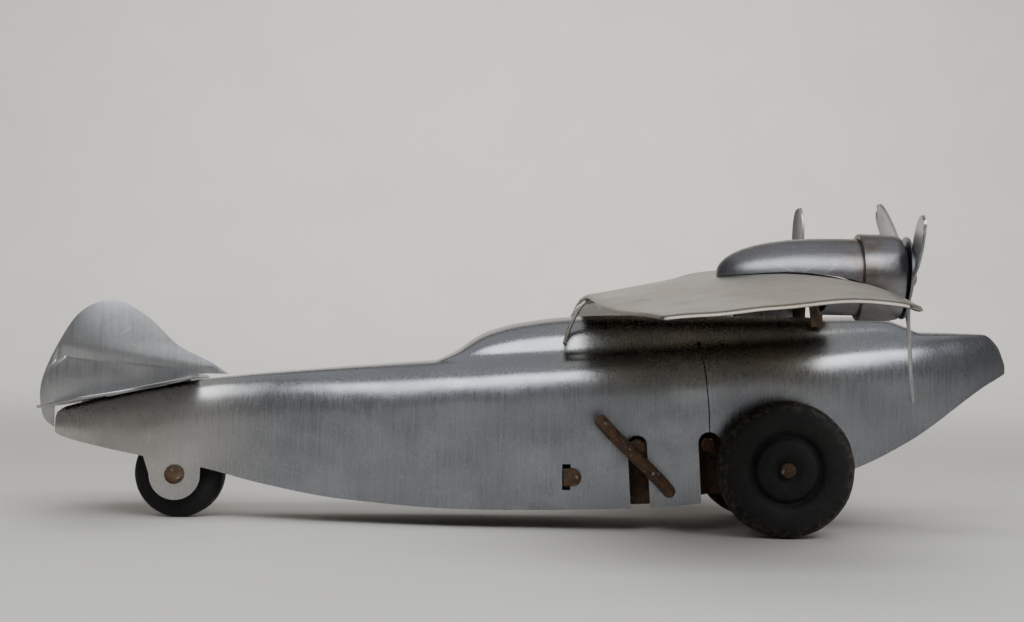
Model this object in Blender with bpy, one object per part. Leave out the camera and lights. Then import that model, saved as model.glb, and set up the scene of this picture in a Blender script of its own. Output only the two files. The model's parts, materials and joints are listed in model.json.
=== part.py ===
"""Wind-up tin-toy flying boat on wheels: a pressed aluminium hull, a cambered wing with two
engine pods, and a clockwork motor that drives the main wheels.

Frame: +X is the nose, +Y is the port side, +Z is up. The origin is on the floor, below the
middle of the object. Shapes are worked out in millimetres and become metres in add_object.
"""
import math

import bmesh
import bpy
from mathutils import Vector

# ---------------------------------------------------------------- driving dimensions (mm)
MM = 0.001
GAP = 0.3
SHEET = 0.9
LENGTH = 320.0
NOSE_X = LENGTH / 2
TAIL_X = -153.0

# Hull: plan half-width, deck height, bottom edge and height of the cabin over the deck
HULL_HALF_WIDTH = [(-153.0, 7.2), (-140.0, 9.6), (-126.0, 11.0), (-103.0, 11.0), (-60.0, 18.5),
                   (-20.0, 23.5), (25.0, 25.0), (92.0, 25.0), (120.0, 22.0), (142.0, 15.5),
                   (154.0, 9.0), (160.0, 3.0)]
HULL_DECK = [(-153.0, 33.6), (-151.0, 35.0), (-148.0, 35.9), (-110.0, 44.1), (-95.0, 46.3),
             (-27.0, 52.7), (14.5, 55.9), (93.0, 62.0), (128.0, 64.6), (152.0, 64.3),
             (157.5, 60.5), (160.0, 55.5)]
HULL_BOTTOM = [(-153.0, 27.6), (-150.8, 26.4), (-137.0, 23.1), (-103.5, 17.0),
               (-84.5, 12.5), (-55.0, 8.1),
               (-15.0, 6.1), (20.0, 6.8), (57.0, 9.3), (62.0, 12.4), (86.0, 14.5),
               (107.6, 21.6), (125.9, 30.9), (151.2, 47.8), (160.0, 52.0)]
CABIN_RISE = [(-28.0, 0.0), (-21.0, 3.1), (-16.0, 6.3), (-10.9, 8.6), (0.0, 10.8),
              (14.6, 11.7), (60.0, 9.3), (93.0, 6.9), (118.0, 4.8), (124.6, 2.4), (129.0, 0.0)]
SHOULDER_HEIGHT = 14.0
CREASE_RATIO = 0.66
DECK_ARCH = 0.8
CABIN_ROUNDNESS = 2.6

# Running gear
MAIN_AXLE = (82.6, 21.45)
MAIN_WHEEL_RADIUS = 21.45
MAIN_WHEEL_INNER = 28.0
MAIN_WHEEL_OUTER = 41.0
MAIN_AXLE_RADIUS = 1.8
TAIL_AXLE = (-112.7, 14.7)
TAIL_WHEEL_RADIUS = 14.7
TAIL_WHEEL_HALF_WIDTH = 5.5
TAIL_AXLE_RADIUS = 1.5
TAIL_HEAD_RADIUS = 3.1
EAR_RADIUS = 8.4

# Clockwork motor
WINDING_ARBOR = (36.5, 27.2)
SECOND_ARBOR = (59.5, 28.2)
PLATE_INNER = 17.5
PLATE_THICKNESS = 1.0
ARBOR_RADIUS = 2.0
SECOND_RADIUS = 1.5
GREAT_TEETH = 36
SECOND_PINION_TEETH = 9
SECOND_WHEEL_TEETH = 30
AXLE_PINION_TEETH = 12
GREAT_WHEEL_Y = (-14.0, -12.7)
SECOND_PINION_Y = (-15.4, -11.4)
SECOND_WHEEL_Y = (8.0, 9.3)
AXLE_PINION_Y = (6.6, 10.7)
RATCHET_Y = (-12.3, -11.1)
PILLARS = [(14.0, 40.0), (13.5, 26.5), (50.0, 49.0), (86.0, 42.0)]
PILLAR_RADIUS = 1.6
PILLAR_END_RADIUS = 1.0
SLOT_1 = (37.1, 27.5, 3.1)
SLOT_2 = (60.0, 28.6, 3.5)
SLOT_LEAN = 0.065
KEY_LENGTH = 34.0
KEY_RADIUS = 2.05
KEY_ANGLE = math.radians(-45.0)
KEY_OFFSET = 2.4
KEY_SLIDE = 1.1
TAB_HOLE = (13.4, 16.0, 12.9, 21.1)

# Wing and tail
WING_HALF_SPAN = 170.0
WING_DROOP = 12.5
WING_TIP_FLATTENING = 2.3
WING_TRAILING_X = 20.5
WING_LEADING_X = 99.5
WING_LEADING_BOW = 2.6
TIP_REAR_START = 110.0
TIP_REAR_CUT = 12.0
TIP_FRONT_START = 135.0
TIP_FRONT_CUT = 8.0
WING_CAMBER = [(0.0, 75.0), (0.3, 79.8), (0.475, 82.8), (0.65, 83.8), (0.85, 82.3),
               (0.95, 79.9), (1.0, 77.2)]
BRACKET_Y = (16.0, 20.2)
FRONT_BRACKET_TOP = (97.4, 91.6)
FRONT_BRACKET_FOOT = [(93.4, 66.2), (96.8, 66.2)]
FIN_OUTLINE = [(-97.3, 47.5), (-103.7, 51.6), (-114.5, 57.0), (-125.0, 66.4), (-136.0, 71.6),
               (-146.3, 68.0), (-153.4, 58.5), (-159.6, 44.0), (-159.0, 33.0), (-155.2, 28.9)]
TAIL_DECK = (-148.0, -110.0)
FIN_TABS = [(-146.0, -138.0), (-118.0, -110.0)]
TAIL_CENTRE_X = -131.0
TAIL_HALF_CHORD = 24.5
TAIL_HALF_SPAN = 50.0

# Engines
ENGINE_Y = 92.0
ENGINE_Z = 79.0
POD_REAR = 53.2
POD_ROUND_END = 86.0
POD_FRONT = 103.5
POD_RADIUS = 10.7
POD_LOWER_START = 84.0
COWL_REAR = 92.3
COWL_RADIUS = 12.1
COWL_FRONT = 104.0
CAP_X = (100.7, 104.6, 105.5)
CAP_RADIUS = 11.5
PIN_RADIUS = 1.0
PIN_REAR = 98.6
PROP_X = 106.7
PROP_RADIUS = 35.0
PROP_SHEET = 0.8
PROP_HUB_RADIUS = 6.5
PROP_PITCHES = {"right": (12.0, -2.0, 0.0), "left": (16.0, 12.0, 12.0)}
PROP_BENDS = {"right": (-2.6, 2.9, 3.4), "left": (-0.4, -0.6, -0.6)}
PROP_BEND_POWER = 0.9
FIRST_BLADE = {"right": math.radians(-82.0), "left": math.radians(90.0)}

SIDES = (("right", -1.0), ("left", 1.0))


# ---------------------------------------------------------------- small tools
def smooth_curve(points):
    """A monotone cubic through the points, as a function of the first coordinate."""
    xs = [point[0] for point in points]
    zs = [point[1] for point in points]
    count = len(xs)
    slopes = [(zs[i + 1] - zs[i]) / (xs[i + 1] - xs[i]) for i in range(count - 1)]
    tangents = [slopes[0]]
    for i in range(1, count - 1):
        same_sign = slopes[i - 1] * slopes[i] > 0
        harmonic = 2 / (1 / slopes[i - 1] + 1 / slopes[i]) if same_sign else 0.0
        tangents.append(harmonic)
    tangents.append(slopes[-1])

    def value(x):
        x = min(max(x, xs[0]), xs[-1])
        i = max(k for k in range(count - 1) if xs[k] <= x)
        width = xs[i + 1] - xs[i]
        t = (x - xs[i]) / width
        start = (1 + 2 * t) * (1 - t) ** 2 * zs[i] + t * (1 - t) ** 2 * width * tangents[i]
        end = t * t * (3 - 2 * t) * zs[i + 1] + t * t * (t - 1) * width * tangents[i + 1]
        return start + end

    return value


def spline_points(points, steps):
    """Points along a Catmull-Rom spline through the given ones."""
    padded = [points[0]] + points + [points[-1]]
    result = []
    for i in range(1, len(padded) - 2):
        a, b, c, d = (Vector(padded[k]) for k in (i - 1, i, i + 1, i + 2))
        for step in range(steps):
            t = step / steps
            along = 2 * b + (c - a) * t + (2 * a - 5 * b + 4 * c - d) * t * t
            result.append(tuple((along + (3 * b - a - 3 * c + d) * t ** 3) / 2))
    result.append(tuple(points[-1]))
    return result


def arc_points(centre, radius, start, end, steps):
    """Points on an arc, angles in degrees."""
    angles = [math.radians(start + (end - start) * i / steps) for i in range(steps + 1)]
    return [(centre[0] + radius * math.cos(a), centre[1] + radius * math.sin(a)) for a in angles]


def add_material(name, colour, metallic, roughness):
    material = bpy.data.materials.new(name)
    material.use_nodes = True
    shader = material.node_tree.nodes["Principled BSDF"]
    shader.inputs["Base Color"].default_value = (*colour, 1.0)
    shader.inputs["Metallic"].default_value = metallic
    shader.inputs["Roughness"].default_value = roughness
    return material


def add_object(name, vertices, faces, material, origin=(0.0, 0.0, 0.0), closed=True):
    """An object whose vertices are given in millimetres from its origin."""
    mesh = bpy.data.meshes.new(name)
    mesh.from_pydata([[c * MM for c in vertex] for vertex in vertices], [], faces)
    if closed:
        work = bmesh.new()
        work.from_mesh(mesh)
        bmesh.ops.recalc_face_normals(work, faces=work.faces)
        work.to_mesh(mesh)
        work.free()
    if material:
        mesh.materials.append(material)
    mesh.shade_smooth()
    mesh.set_sharp_from_angle(angle=math.radians(35.0))
    obj = bpy.data.objects.new(name, mesh)
    obj.location = Vector(origin) * MM
    bpy.context.collection.objects.link(obj)
    return obj


def thicken(obj, thickness, offset):
    modifier = obj.modifiers.new("sheet thickness", "SOLIDIFY")
    modifier.thickness = thickness * MM
    modifier.offset = offset
    modifier.use_even_offset = True


def cut(obj, cutter):
    cutter.hide_render = True
    cutter.display_type = "WIRE"
    modifier = obj.modifiers.new("cut " + cutter.name, "BOOLEAN")
    modifier.operation = "DIFFERENCE"
    modifier.object = cutter


def prism(name, outline, y_range, material, origin=(0.0, 0.0, 0.0)):
    """An outline in X and Z, extruded along Y."""
    count = len(outline)
    vertices = [(x, y, z) for y in y_range for x, z in outline]
    faces = [tuple(range(count)), tuple(range(count, 2 * count))]
    for i in range(count):
        j = (i + 1) % count
        faces.append((i, j, count + j, count + i))
    return add_object(name, vertices, faces, material, origin)


def turned(name, profile, axis, segments, material, origin=(0.0, 0.0, 0.0), ring=False):
    """A profile of (along, radius) pairs turned about the X or Y axis through the origin.

    A ring's profile closes on itself, and any other profile starts and ends on the axis.
    """
    vertices = []
    rows = []
    for along, radius in profile:
        count = segments if radius > 0 else 1
        rows.append(list(range(len(vertices), len(vertices) + count)))
        for k in range(count):
            angle = 2 * math.pi * k / segments
            across = (radius * math.cos(angle), radius * math.sin(angle))
            on_y = (across[0], along, across[1])
            vertices.append((along, *across) if axis == "X" else on_y)
    pairs = list(zip(rows, rows[1:]))
    if ring:
        pairs.append((rows[-1], rows[0]))
    faces = []
    for low, high in pairs:
        for k in range(segments):
            m = (k + 1) % segments
            corners = (low[k % len(low)], low[m % len(low)], high[m % len(high)],
                       high[k % len(high)])
            faces.append(tuple(dict.fromkeys(corners)))
    return add_object(name, vertices, faces, material, origin, closed=True)


def hole_cutter(name, centres_and_radii, y_range, segments=20):
    """Round cutters along Y, as one object."""
    vertices = []
    faces = []
    for (x, z), radius in centres_and_radii:
        base = len(vertices)
        circle = arc_points((x, z), radius, 0, 360, segments)[:-1]
        vertices += [(px, y, pz) for y in y_range for px, pz in circle]
        faces.append(tuple(range(base, base + segments)))
        faces.append(tuple(range(base + segments, base + 2 * segments)))
        for i in range(segments):
            j = (i + 1) % segments
            faces.append((base + i, base + j, base + segments + j, base + segments + i))
    return add_object(name, vertices, faces, None)


# ---------------------------------------------------------------- hull
deck_height = smooth_curve(HULL_DECK)
bottom_height = smooth_curve(HULL_BOTTOM)
half_width = smooth_curve(HULL_HALF_WIDTH)
cabin_rise = smooth_curve(CABIN_RISE)


def hull_edge(x):
    """Height of the hull's lower edge, with the tail wheel's ears."""
    reach = EAR_RADIUS ** 2 - (x - TAIL_AXLE[0]) ** 2
    if reach < 0:
        return bottom_height(x)
    return min(bottom_height(x), TAIL_AXLE[1] - math.sqrt(reach))


def hull_section(x):
    """Half a section at x, from the lower edge to the middle of the deck, as (y, z)."""
    width = half_width(x)
    edge = hull_edge(x)
    deck = deck_height(x)
    rise = cabin_rise(x) + DECK_ARCH
    shoulder = min(SHOULDER_HEIGHT, 0.75 * (deck - bottom_height(x)))
    crease = CREASE_RATIO * width
    start = deck - shoulder
    points = [(width, edge + (start - edge) * i / 2) for i in range(2)]
    for i in range(5):
        angle = math.radians(90 * i / 4)
        points.append((crease + (width - crease) * math.cos(angle),
                       start + shoulder * math.sin(angle)))
    power = 2 / CABIN_ROUNDNESS
    for i in range(1, 5):
        angle = math.radians(90 * i / 4)
        cosine = max(math.cos(angle), 0.0)
        points.append((crease * cosine ** power, deck + rise * math.sin(angle) ** power))
    return points


def hull_stations():
    """Stations along the hull, closer where the ears, the cabin and the nose curve."""
    ear_start = TAIL_AXLE[0] - EAR_RADIUS
    ears = [TAIL_AXLE[0] + EAR_RADIUS * math.cos(math.radians(a)) for a in range(180, 10, -30)]
    rear = [TAIL_X, -152.0, -150.5, -148.0, -136.0, ear_start - 0.1]
    middle = [-103.0, -84.0, -60.0, -40.0, -28.0, -22.0, -17.0, -11.0, 0.0, 14.6, 40.0, 64.0,
              92.0, 108.0, 118.0, 124.6, 129.0]
    nose = [142.0, 152.0, 156.0, 158.6, NOSE_X]
    return rear + ears + middle + nose


def hull_shell(material):
    """One stamping, open below: flat sides, round shoulders, arched deck and raised cabin."""
    stations = hull_stations()
    vertices = []
    for x in stations:
        half = hull_section(x)
        port = [(x, y, z) for y, z in half]
        starboard = [(x, -y, z) for y, z in half[-2::-1]]
        vertices += port + starboard
    row = len(vertices) // len(stations)
    faces = [tuple(reversed(range(row)))]
    for i in range(len(stations) - 1):
        for j in range(row - 1):
            a = i * row + j
            faces.append((a, a + 1, a + row + 1, a + row))
    faces.append(tuple(range(len(vertices) - row, len(vertices))))
    hull = add_object("hull_shell", vertices, faces, material, closed=False)
    thicken(hull, SHEET, -1.0)
    through = (-30.0, 30.0)
    for x, top, half in (SLOT_1, SLOT_2):
        foot = x + SLOT_LEAN * top
        outline = arc_points((x, top), half, 0, 180, 8) + [(foot - half, 0.0), (foot + half, 0.0)]
        cut(hull, prism(f"cutter_slot_{x:.0f}", outline, through, None))
    x0, x1, z0, z1 = TAB_HOLE
    cut(hull, prism("cutter_tab_hole", [(x0, z0), (x1, z0), (x1, z1), (x0, z1)], through, None))
    holes = [(MAIN_AXLE, MAIN_AXLE_RADIUS + 2 * GAP), (TAIL_AXLE, TAIL_AXLE_RADIUS + GAP)]
    cut(hull, hole_cutter("cutter_axles", holes, through))
    for number, (x0, x1) in enumerate(FIN_TABS):
        outline = [(x0 - GAP, 30.0), (x1 + GAP, 30.0), (x1 + GAP, 60.0), (x0 - GAP, 60.0)]
        half = SHEET / 2 + GAP
        cut(hull, prism(f"cutter_fin_slot_{number}", outline, (-half, half), None))
    return hull


# ---------------------------------------------------------------- tail
def tail_height(x):
    """Middle of the tailplane's sheet, which lies on the sloping tail deck."""
    rear, front = TAIL_DECK
    low = deck_height(rear)
    slope = (deck_height(front) - low) / (front - rear)
    return low + (x - rear) * slope + DECK_ARCH + 2 * GAP + SHEET / 2


def fin(material):
    """A flat sheet whose two tabs go down through the tailplane and the deck."""
    outline = spline_points(FIN_OUTLINE, 3)
    above = SHEET / 2 + GAP
    rear_foot = FIN_OUTLINE[-1][0] + 0.1
    outline.append((rear_foot, tail_height(rear_foot) + above))
    for x0, x1 in FIN_TABS:
        outline += [(x0, tail_height(x0) + above), (x0, tail_height(x0) - 3.6)]
        outline += [(x1, tail_height(x1) - 3.6), (x1, tail_height(x1) + above)]
    front = TAIL_CENTRE_X + TAIL_HALF_CHORD + 1.0
    outline += [(front, tail_height(front) + above)]
    return prism("fin", outline, (-SHEET / 2, SHEET / 2), material)


def tailplane(material):
    """A flat sheet with a rounded plan, notched behind for the fin's foot."""
    count = 44
    power = 2 / 2.6
    top = []
    for k in range(count):
        angle = 2 * math.pi * k / count
        cosine, sine = math.cos(angle), math.sin(angle)
        x = TAIL_CENTRE_X + TAIL_HALF_CHORD * math.copysign(abs(cosine) ** power, cosine)
        y = TAIL_HALF_SPAN * math.copysign(abs(sine) ** power, sine)
        top.append((x, y))
    vertices = [(x, y, tail_height(x) + half) for half in (-SHEET / 2, SHEET / 2) for x, y in top]
    faces = [tuple(range(count)), tuple(range(count, 2 * count))]
    for i in range(count):
        j = (i + 1) % count
        faces.append((i, j, count + j, count + i))
    plane = add_object("tailplane", vertices, faces, material)
    half = SHEET / 2 + GAP
    slots = [(x0 - GAP, x1 + GAP) for x0, x1 in FIN_TABS] + [(-165.0, FIN_OUTLINE[-1][0] + 0.5)]
    for number, (x0, x1) in enumerate(slots):
        outline = [(x0, 25.0), (x1, 25.0), (x1, 60.0), (x0, 60.0)]
        cut(plane, prism(f"cutter_tail_slot_{number}", outline, (-half, half), None))
    return plane


# ---------------------------------------------------------------- wing
wing_camber = smooth_curve(WING_CAMBER)


def wing_chord(y):
    """Trailing and leading edge at span position y: both are cut back in a curve to the tip."""
    span = abs(y) / WING_HALF_SPAN
    rear = max(0.0, (abs(y) - TIP_REAR_START) / (WING_HALF_SPAN - TIP_REAR_START))
    front = max(0.0, (abs(y) - TIP_FRONT_START) / (WING_HALF_SPAN - TIP_FRONT_START))
    trailing = WING_TRAILING_X + TIP_REAR_CUT * rear ** 1.6
    leading = WING_LEADING_X - WING_LEADING_BOW * span ** 2 - TIP_FRONT_CUT * front ** 2.2
    return trailing, leading


def wing_height(x, y):
    """Height of the wing's sheet: cambered, drooping to its tips and flatter there."""
    trailing, leading = wing_chord(min(abs(y), TIP_REAR_START))
    share = (x - trailing) / (leading - trailing)
    out = abs(y) / WING_HALF_SPAN
    inside = min(1.0, max(0.0, share))
    flatter = WING_TIP_FLATTENING * out ** 3 * math.sin(math.pi * inside) ** 4
    return wing_camber(share) - WING_DROOP * out ** 2 - flatter


def wing_grid(x_range, y_values, chord_steps):
    """Vertices and faces of the wing's middle surface, closer spaced at the leading edge."""
    vertices = []
    for y in y_values:
        start, end = x_range if x_range else wing_chord(y)
        for i in range(chord_steps + 1):
            share = 1 - (1 - i / chord_steps) ** 1.5
            x = start + (end - start) * share
            vertices.append((x, y, wing_height(x, y)))
    row = chord_steps + 1
    faces = []
    for j in range(len(y_values) - 1):
        for i in range(chord_steps):
            a = j * row + i
            faces.append((a, a + 1, a + row + 1, a + row))
    return vertices, faces


def wing(material):
    """One cambered, drooping sheet from tip to tip."""
    half = [0.0, 30.0, 60.0, 85.0, 105.0, 122.0, 138.0, 150.0, 158.0, 164.5, WING_HALF_SPAN]
    stations = [-y for y in half[:0:-1]] + half
    vertices, faces = wing_grid(None, stations, 10)
    obj = add_object("wing", vertices, faces, material, closed=False)
    thicken(obj, SHEET, 0.0)
    return obj


def wing_brackets(material):
    """Straps beside the cabin: one bent over the wing's rear edge, one flat and tapered."""
    inner, outer = BRACKET_Y
    under = SHEET + GAP + 0.25
    path = [(x, wing_height(x, outer) - under) for x in (30.0, 25.0, 21.5)]
    path = path[:2] + spline_points([path[2], (18.6, 71.6), (15.6, 66.0), (13.4, 59.7)], 3)
    count = len(path)
    plate = [(x, wing_height(x, outer) - under) for x in FRONT_BRACKET_TOP]
    plate += FRONT_BRACKET_FOOT
    faces = [(i, i + 1, count + i + 1, count + i) for i in range(count - 1)]
    for side_name, side in SIDES:
        vertices = [(x, side * y, z) for y in (inner, outer) for x, z in path]
        name = f"wing_bracket_rear_{side_name}"
        thicken(add_object(name, vertices, faces, material, closed=False), SHEET, 0.0)
        front_y = (side * inner, side * (inner + SHEET))
        prism(f"wing_bracket_front_{side_name}", plate, front_y, material)


# ---------------------------------------------------------------- engines
def pod_radius(x, radius, rear):
    if x >= POD_ROUND_END:
        return radius
    share = (POD_ROUND_END - x) / (POD_ROUND_END - rear)
    return radius * max(0.0, 1 - share ** 2.3) ** (1 / 2.3)


def wing_slab(name, side, x_end, reach, steps):
    """A sheet-shaped cutter that follows the wing from behind the pod to x_end."""
    y = side * ENGINE_Y
    rows = [y - reach + 2 * reach * k / 4 for k in range(5)]
    vertices, faces = wing_grid((POD_REAR - 4.0, x_end), rows, steps)
    return add_object(name, vertices, faces, None, closed=False)


def cut_wing_gap(piece, name, side):
    """Leaves room for the wing's sheet, which runs through the piece."""
    reach = COWL_RADIUS + 2.0
    leading = wing_chord(ENGINE_Y - reach)[1] + 4 * GAP
    slab = wing_slab(f"cutter_wing_gap_{name}", side, leading, reach, 10)
    thicken(slab, SHEET + 4 * GAP, 0.0)
    cut(piece, slab)


def engine_pod(side_name, side, material):
    """A hollow bullet on the wing: its lower half is there only ahead of the wing."""
    shares = (0.0, 0.03, 0.15, 0.4, 1.0)
    outer = [(POD_REAR + (POD_ROUND_END - POD_REAR) * s) for s in shares]
    inner_rear = POD_REAR + SHEET * 1.4
    inner = [(inner_rear + (POD_ROUND_END - inner_rear) * s) for s in reversed(shares)]
    profile = [(x, pod_radius(x, POD_RADIUS, POD_REAR)) for x in outer]
    profile += [(POD_FRONT, POD_RADIUS), (POD_FRONT, POD_RADIUS - SHEET)]
    profile += [(x, pod_radius(x, POD_RADIUS - SHEET, inner_rear)) for x in inner]
    centre = (0.0, side * ENGINE_Y, ENGINE_Z)
    pod = turned(f"engine_pod_{side_name}", profile, "X", 20, material, centre)
    cut_wing_gap(pod, f"pod_{side_name}", side)
    block = wing_slab(f"cutter_below_wing_{side_name}", side, POD_LOWER_START, COWL_RADIUS, 5)
    thicken(block, 4 * POD_RADIUS, -1.0)
    cut(pod, block)
    return pod


def cowl_ring(side_name, side, material):
    """A ring round the front of the pod."""
    inner = POD_RADIUS + GAP
    profile = [(COWL_REAR, inner), (COWL_REAR, COWL_RADIUS), (COWL_FRONT, COWL_RADIUS),
               (COWL_FRONT, inner)]
    centre = (0.0, side * ENGINE_Y, ENGINE_Z)
    ring = turned(f"cowl_ring_{side_name}", profile, "X", 22, material, centre, ring=True)
    cut_wing_gap(ring, f"cowl_{side_name}", side)
    return ring


def bulkhead(side_name, side, material):
    """The cap that closes the pod's mouth and carries the propeller's pin."""
    rim = POD_RADIUS - SHEET - GAP
    bore = PIN_RADIUS + GAP
    rear, shoulder, front = CAP_X
    profile = [(rear, bore), (rear, rim), (shoulder, rim), (shoulder, CAP_RADIUS),
               (front, CAP_RADIUS), (front, bore)]
    centre = (0.0, side * ENGINE_Y, ENGINE_Z)
    return turned(f"bulkhead_{side_name}", profile, "X", 20, material, centre, ring=True)


def propeller_pin(side_name, side, material):
    """A pin with a domed head in front of the propeller."""
    head = PROP_X + PROP_SHEET / 2 + GAP
    profile = [(PIN_REAR, 0.0), (PIN_REAR, PIN_RADIUS), (head, PIN_RADIUS), (head, 2.5),
               (head + 1.2, 2.2), (head + 1.7, 1.2), (head + 1.8, 0.0)]
    centre = (0.0, side * ENGINE_Y, ENGINE_Z)
    return turned(f"propeller_pin_{side_name}", profile, "X", 16, material, centre)


def blade_half_width(radius):
    share = max(0.0, (radius - 18.0) / (PROP_RADIUS + 0.3 - 18.0))
    swell = 3.2 + 1.7 * min(1.0, (radius - PROP_HUB_RADIUS) / 12.0)
    return swell * (1 - share ** 2.4) ** (1 / 2.4)


def propeller(side_name, side, first_blade, material):
    """Three pitched blades and a flat hub, stamped from one sheet."""
    radii = [PROP_HUB_RADIUS, 9.0, 12.0, 18.0, 25.0, 30.5, 33.5, PROP_RADIUS]
    across = (-1.0, -0.5, 0.0, 0.5, 1.0)
    root_angle = math.asin(blade_half_width(PROP_HUB_RADIUS) / PROP_HUB_RADIUS)
    blade_angles = [first_blade + math.radians(120 * k) for k in range(3)]
    hub_angles = []
    for blade in blade_angles:
        hub_angles += [blade + s * root_angle for s in across]
        hub_angles.append(blade + math.radians(60))
    count = len(hub_angles)
    vertices = []
    for radius in (PIN_RADIUS + GAP, PROP_HUB_RADIUS):
        vertices += [(0.0, radius * math.cos(a), radius * math.sin(a)) for a in hub_angles]
    faces = []
    for i in range(count):
        j = (i + 1) % count
        faces.append((i, j, count + j, count + i))
    for number, blade in enumerate(blade_angles):
        last = [count + number * 6 + k for k in range(5)]
        for radius in radii[1:]:
            beyond_hub = radius - PROP_HUB_RADIUS
            share = beyond_hub / (PROP_RADIUS - PROP_HUB_RADIUS)
            full_pitch = math.radians(PROP_PITCHES[side_name][number])
            pitch = full_pitch * min(1.0, beyond_hub / 7.0)
            back = PROP_BENDS[side_name][number] * share ** PROP_BEND_POWER
            half = blade_half_width(radius)
            row = []
            for s in across:
                sideways = s * half * math.cos(pitch)
                y = radius * math.cos(blade) - sideways * math.sin(blade)
                z = radius * math.sin(blade) + sideways * math.cos(blade)
                along = s * half * math.sin(pitch) - back
                row.append(len(vertices))
                vertices.append((along, y, z))
            for k in range(4):
                faces.append((last[k], last[k + 1], row[k + 1], row[k]))
            last = row
    centre = (PROP_X, side * ENGINE_Y, ENGINE_Z)
    prop = add_object(f"propeller_{side_name}", vertices, faces, material, centre, closed=False)
    thicken(prop, PROP_SHEET, 0.0)
    return prop


# ---------------------------------------------------------------- running gear
def main_wheel(side_name, side, material):
    """A moulded rubber wheel: round tread, ring groove and raised hub disc."""
    bore = MAIN_AXLE_RADIUS + GAP
    a, b, r = MAIN_WHEEL_INNER, MAIN_WHEEL_OUTER, MAIN_WHEEL_RADIUS
    profile = [(a, bore), (a, 17.5), (a + 3.0, r - 0.6), (a + 6.5, r), (b - 3.0, r - 0.6)]
    profile += [(b, 17.0), (b - 0.6, 12.0), (b - 2.2, 10.8), (b - 0.8, 9.0), (b - 0.8, bore)]
    profile = [(side * along, radius) for along, radius in profile]
    centre = (MAIN_AXLE[0], 0.0, MAIN_AXLE[1])
    return turned(f"main_wheel_{side_name}", profile, "Y", 28, material, centre, ring=True)


def headed_rod(name, centre, radius, head_radius, head_inner, head_outer, material):
    """A rod along Y with a peened head at each end."""
    half = [(head_inner, radius), (head_inner, head_radius), (head_outer - 0.4, head_radius),
            (head_outer, head_radius * 0.6), (head_outer, 0.0)]
    profile = [(-y, r) for y, r in reversed(half)] + half
    return turned(name, profile, "Y", 16, material, (centre[0], 0.0, centre[1]))


def tail_wheel(material):
    bore = TAIL_AXLE_RADIUS + GAP
    h, r = TAIL_WHEEL_HALF_WIDTH, TAIL_WHEEL_RADIUS
    half = [(h, bore), (h, r - 3.5), (h - 1.2, r - 1.0), (h - 3.2, r)]
    profile = half + [(-y, radius) for y, radius in reversed(half)]
    centre = (TAIL_AXLE[0], 0.0, TAIL_AXLE[1])
    return turned("tail_wheel", profile, "Y", 24, material, centre, ring=True)


# ---------------------------------------------------------------- clockwork motor
def bearing(centre_from, centre_to):
    return math.atan2(centre_to[1] - centre_from[1], centre_to[0] - centre_from[0])


def gear(name, teeth, module, first_tooth, y_range, bore, centre, material):
    """A spur gear about Y with slim involute teeth, one of them at first_tooth."""
    pressure = math.radians(20.0)
    pitch = module * teeth / 2
    base = pitch * math.cos(pressure)
    tip = pitch + 0.8 * module
    root = pitch - 1.15 * module
    half_tooth = 0.8 * math.pi / (2 * teeth)
    roll_at_pitch = math.tan(pressure) - pressure

    def half_angle(radius):
        if radius <= base:
            return half_tooth + roll_at_pitch
        alpha = math.acos(base / radius)
        return half_tooth + roll_at_pitch - (math.tan(alpha) - alpha)

    flank = [root, pitch - 0.1 * module, tip]
    outline = []
    for k in range(teeth):
        middle = first_tooth + 2 * math.pi * k / teeth
        for radius in flank:
            angle = middle - half_angle(radius)
            outline.append((radius * math.cos(angle), radius * math.sin(angle)))
        for radius in reversed(flank):
            angle = middle + half_angle(radius)
            outline.append((radius * math.cos(angle), radius * math.sin(angle)))
    origin = (centre[0], 0.0, centre[1])
    wheel = prism(name, outline, y_range, material, origin)
    cutter = hole_cutter("cutter_" + name, [(centre, bore)], (-40.0, 40.0))
    cut(wheel, cutter)
    return wheel


def ratchet_wheel(material):
    """Saw teeth that hold the wound spring against the click."""
    teeth = 12
    outline = []
    for k in range(teeth):
        start = 2 * math.pi * k / teeth
        outline.append((7.0 * math.cos(start), 7.0 * math.sin(start)))
        low = start + 2 * math.pi * 0.12 / teeth
        outline.append((5.6 * math.cos(low), 5.6 * math.sin(low)))
    origin = (WINDING_ARBOR[0], 0.0, WINDING_ARBOR[1])
    wheel = prism("ratchet_wheel", outline, RATCHET_Y, material, origin)
    cut(wheel, hole_cutter("cutter_ratchet", [(WINDING_ARBOR, ARBOR_RADIUS + GAP)], (-40, 40)))
    return wheel


def click_place():
    """Pivot of the click, on the great wheel."""
    angle = math.radians(118.0)
    return (WINDING_ARBOR[0] + 12.0 * math.cos(angle), WINDING_ARBOR[1] + 12.0 * math.sin(angle))


def round_arbor(radius, degrees):
    """A point at an angle round the winding arbor, measured from the click's pivot."""
    pivot = click_place()
    angle = math.radians(degrees)
    return (WINDING_ARBOR[0] + radius * math.cos(angle) - pivot[0],
            WINDING_ARBOR[1] + radius * math.sin(angle) - pivot[1])


def click(material):
    """The pawl on the great wheel, lifted just clear of the ratchet's teeth."""
    pivot = click_place()
    outline = arc_points((0.0, 0.0), 2.2, -10, 170, 8)
    outline += [round_arbor(9.2, 167), round_arbor(7.4, 166), round_arbor(8.2, 150)]
    pawl = prism("click", outline, RATCHET_Y, material, (pivot[0], 0.0, pivot[1]))
    cut(pawl, hole_cutter("cutter_click", [(pivot, 0.8 + GAP)], (-40.0, 40.0)))
    return pawl


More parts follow.
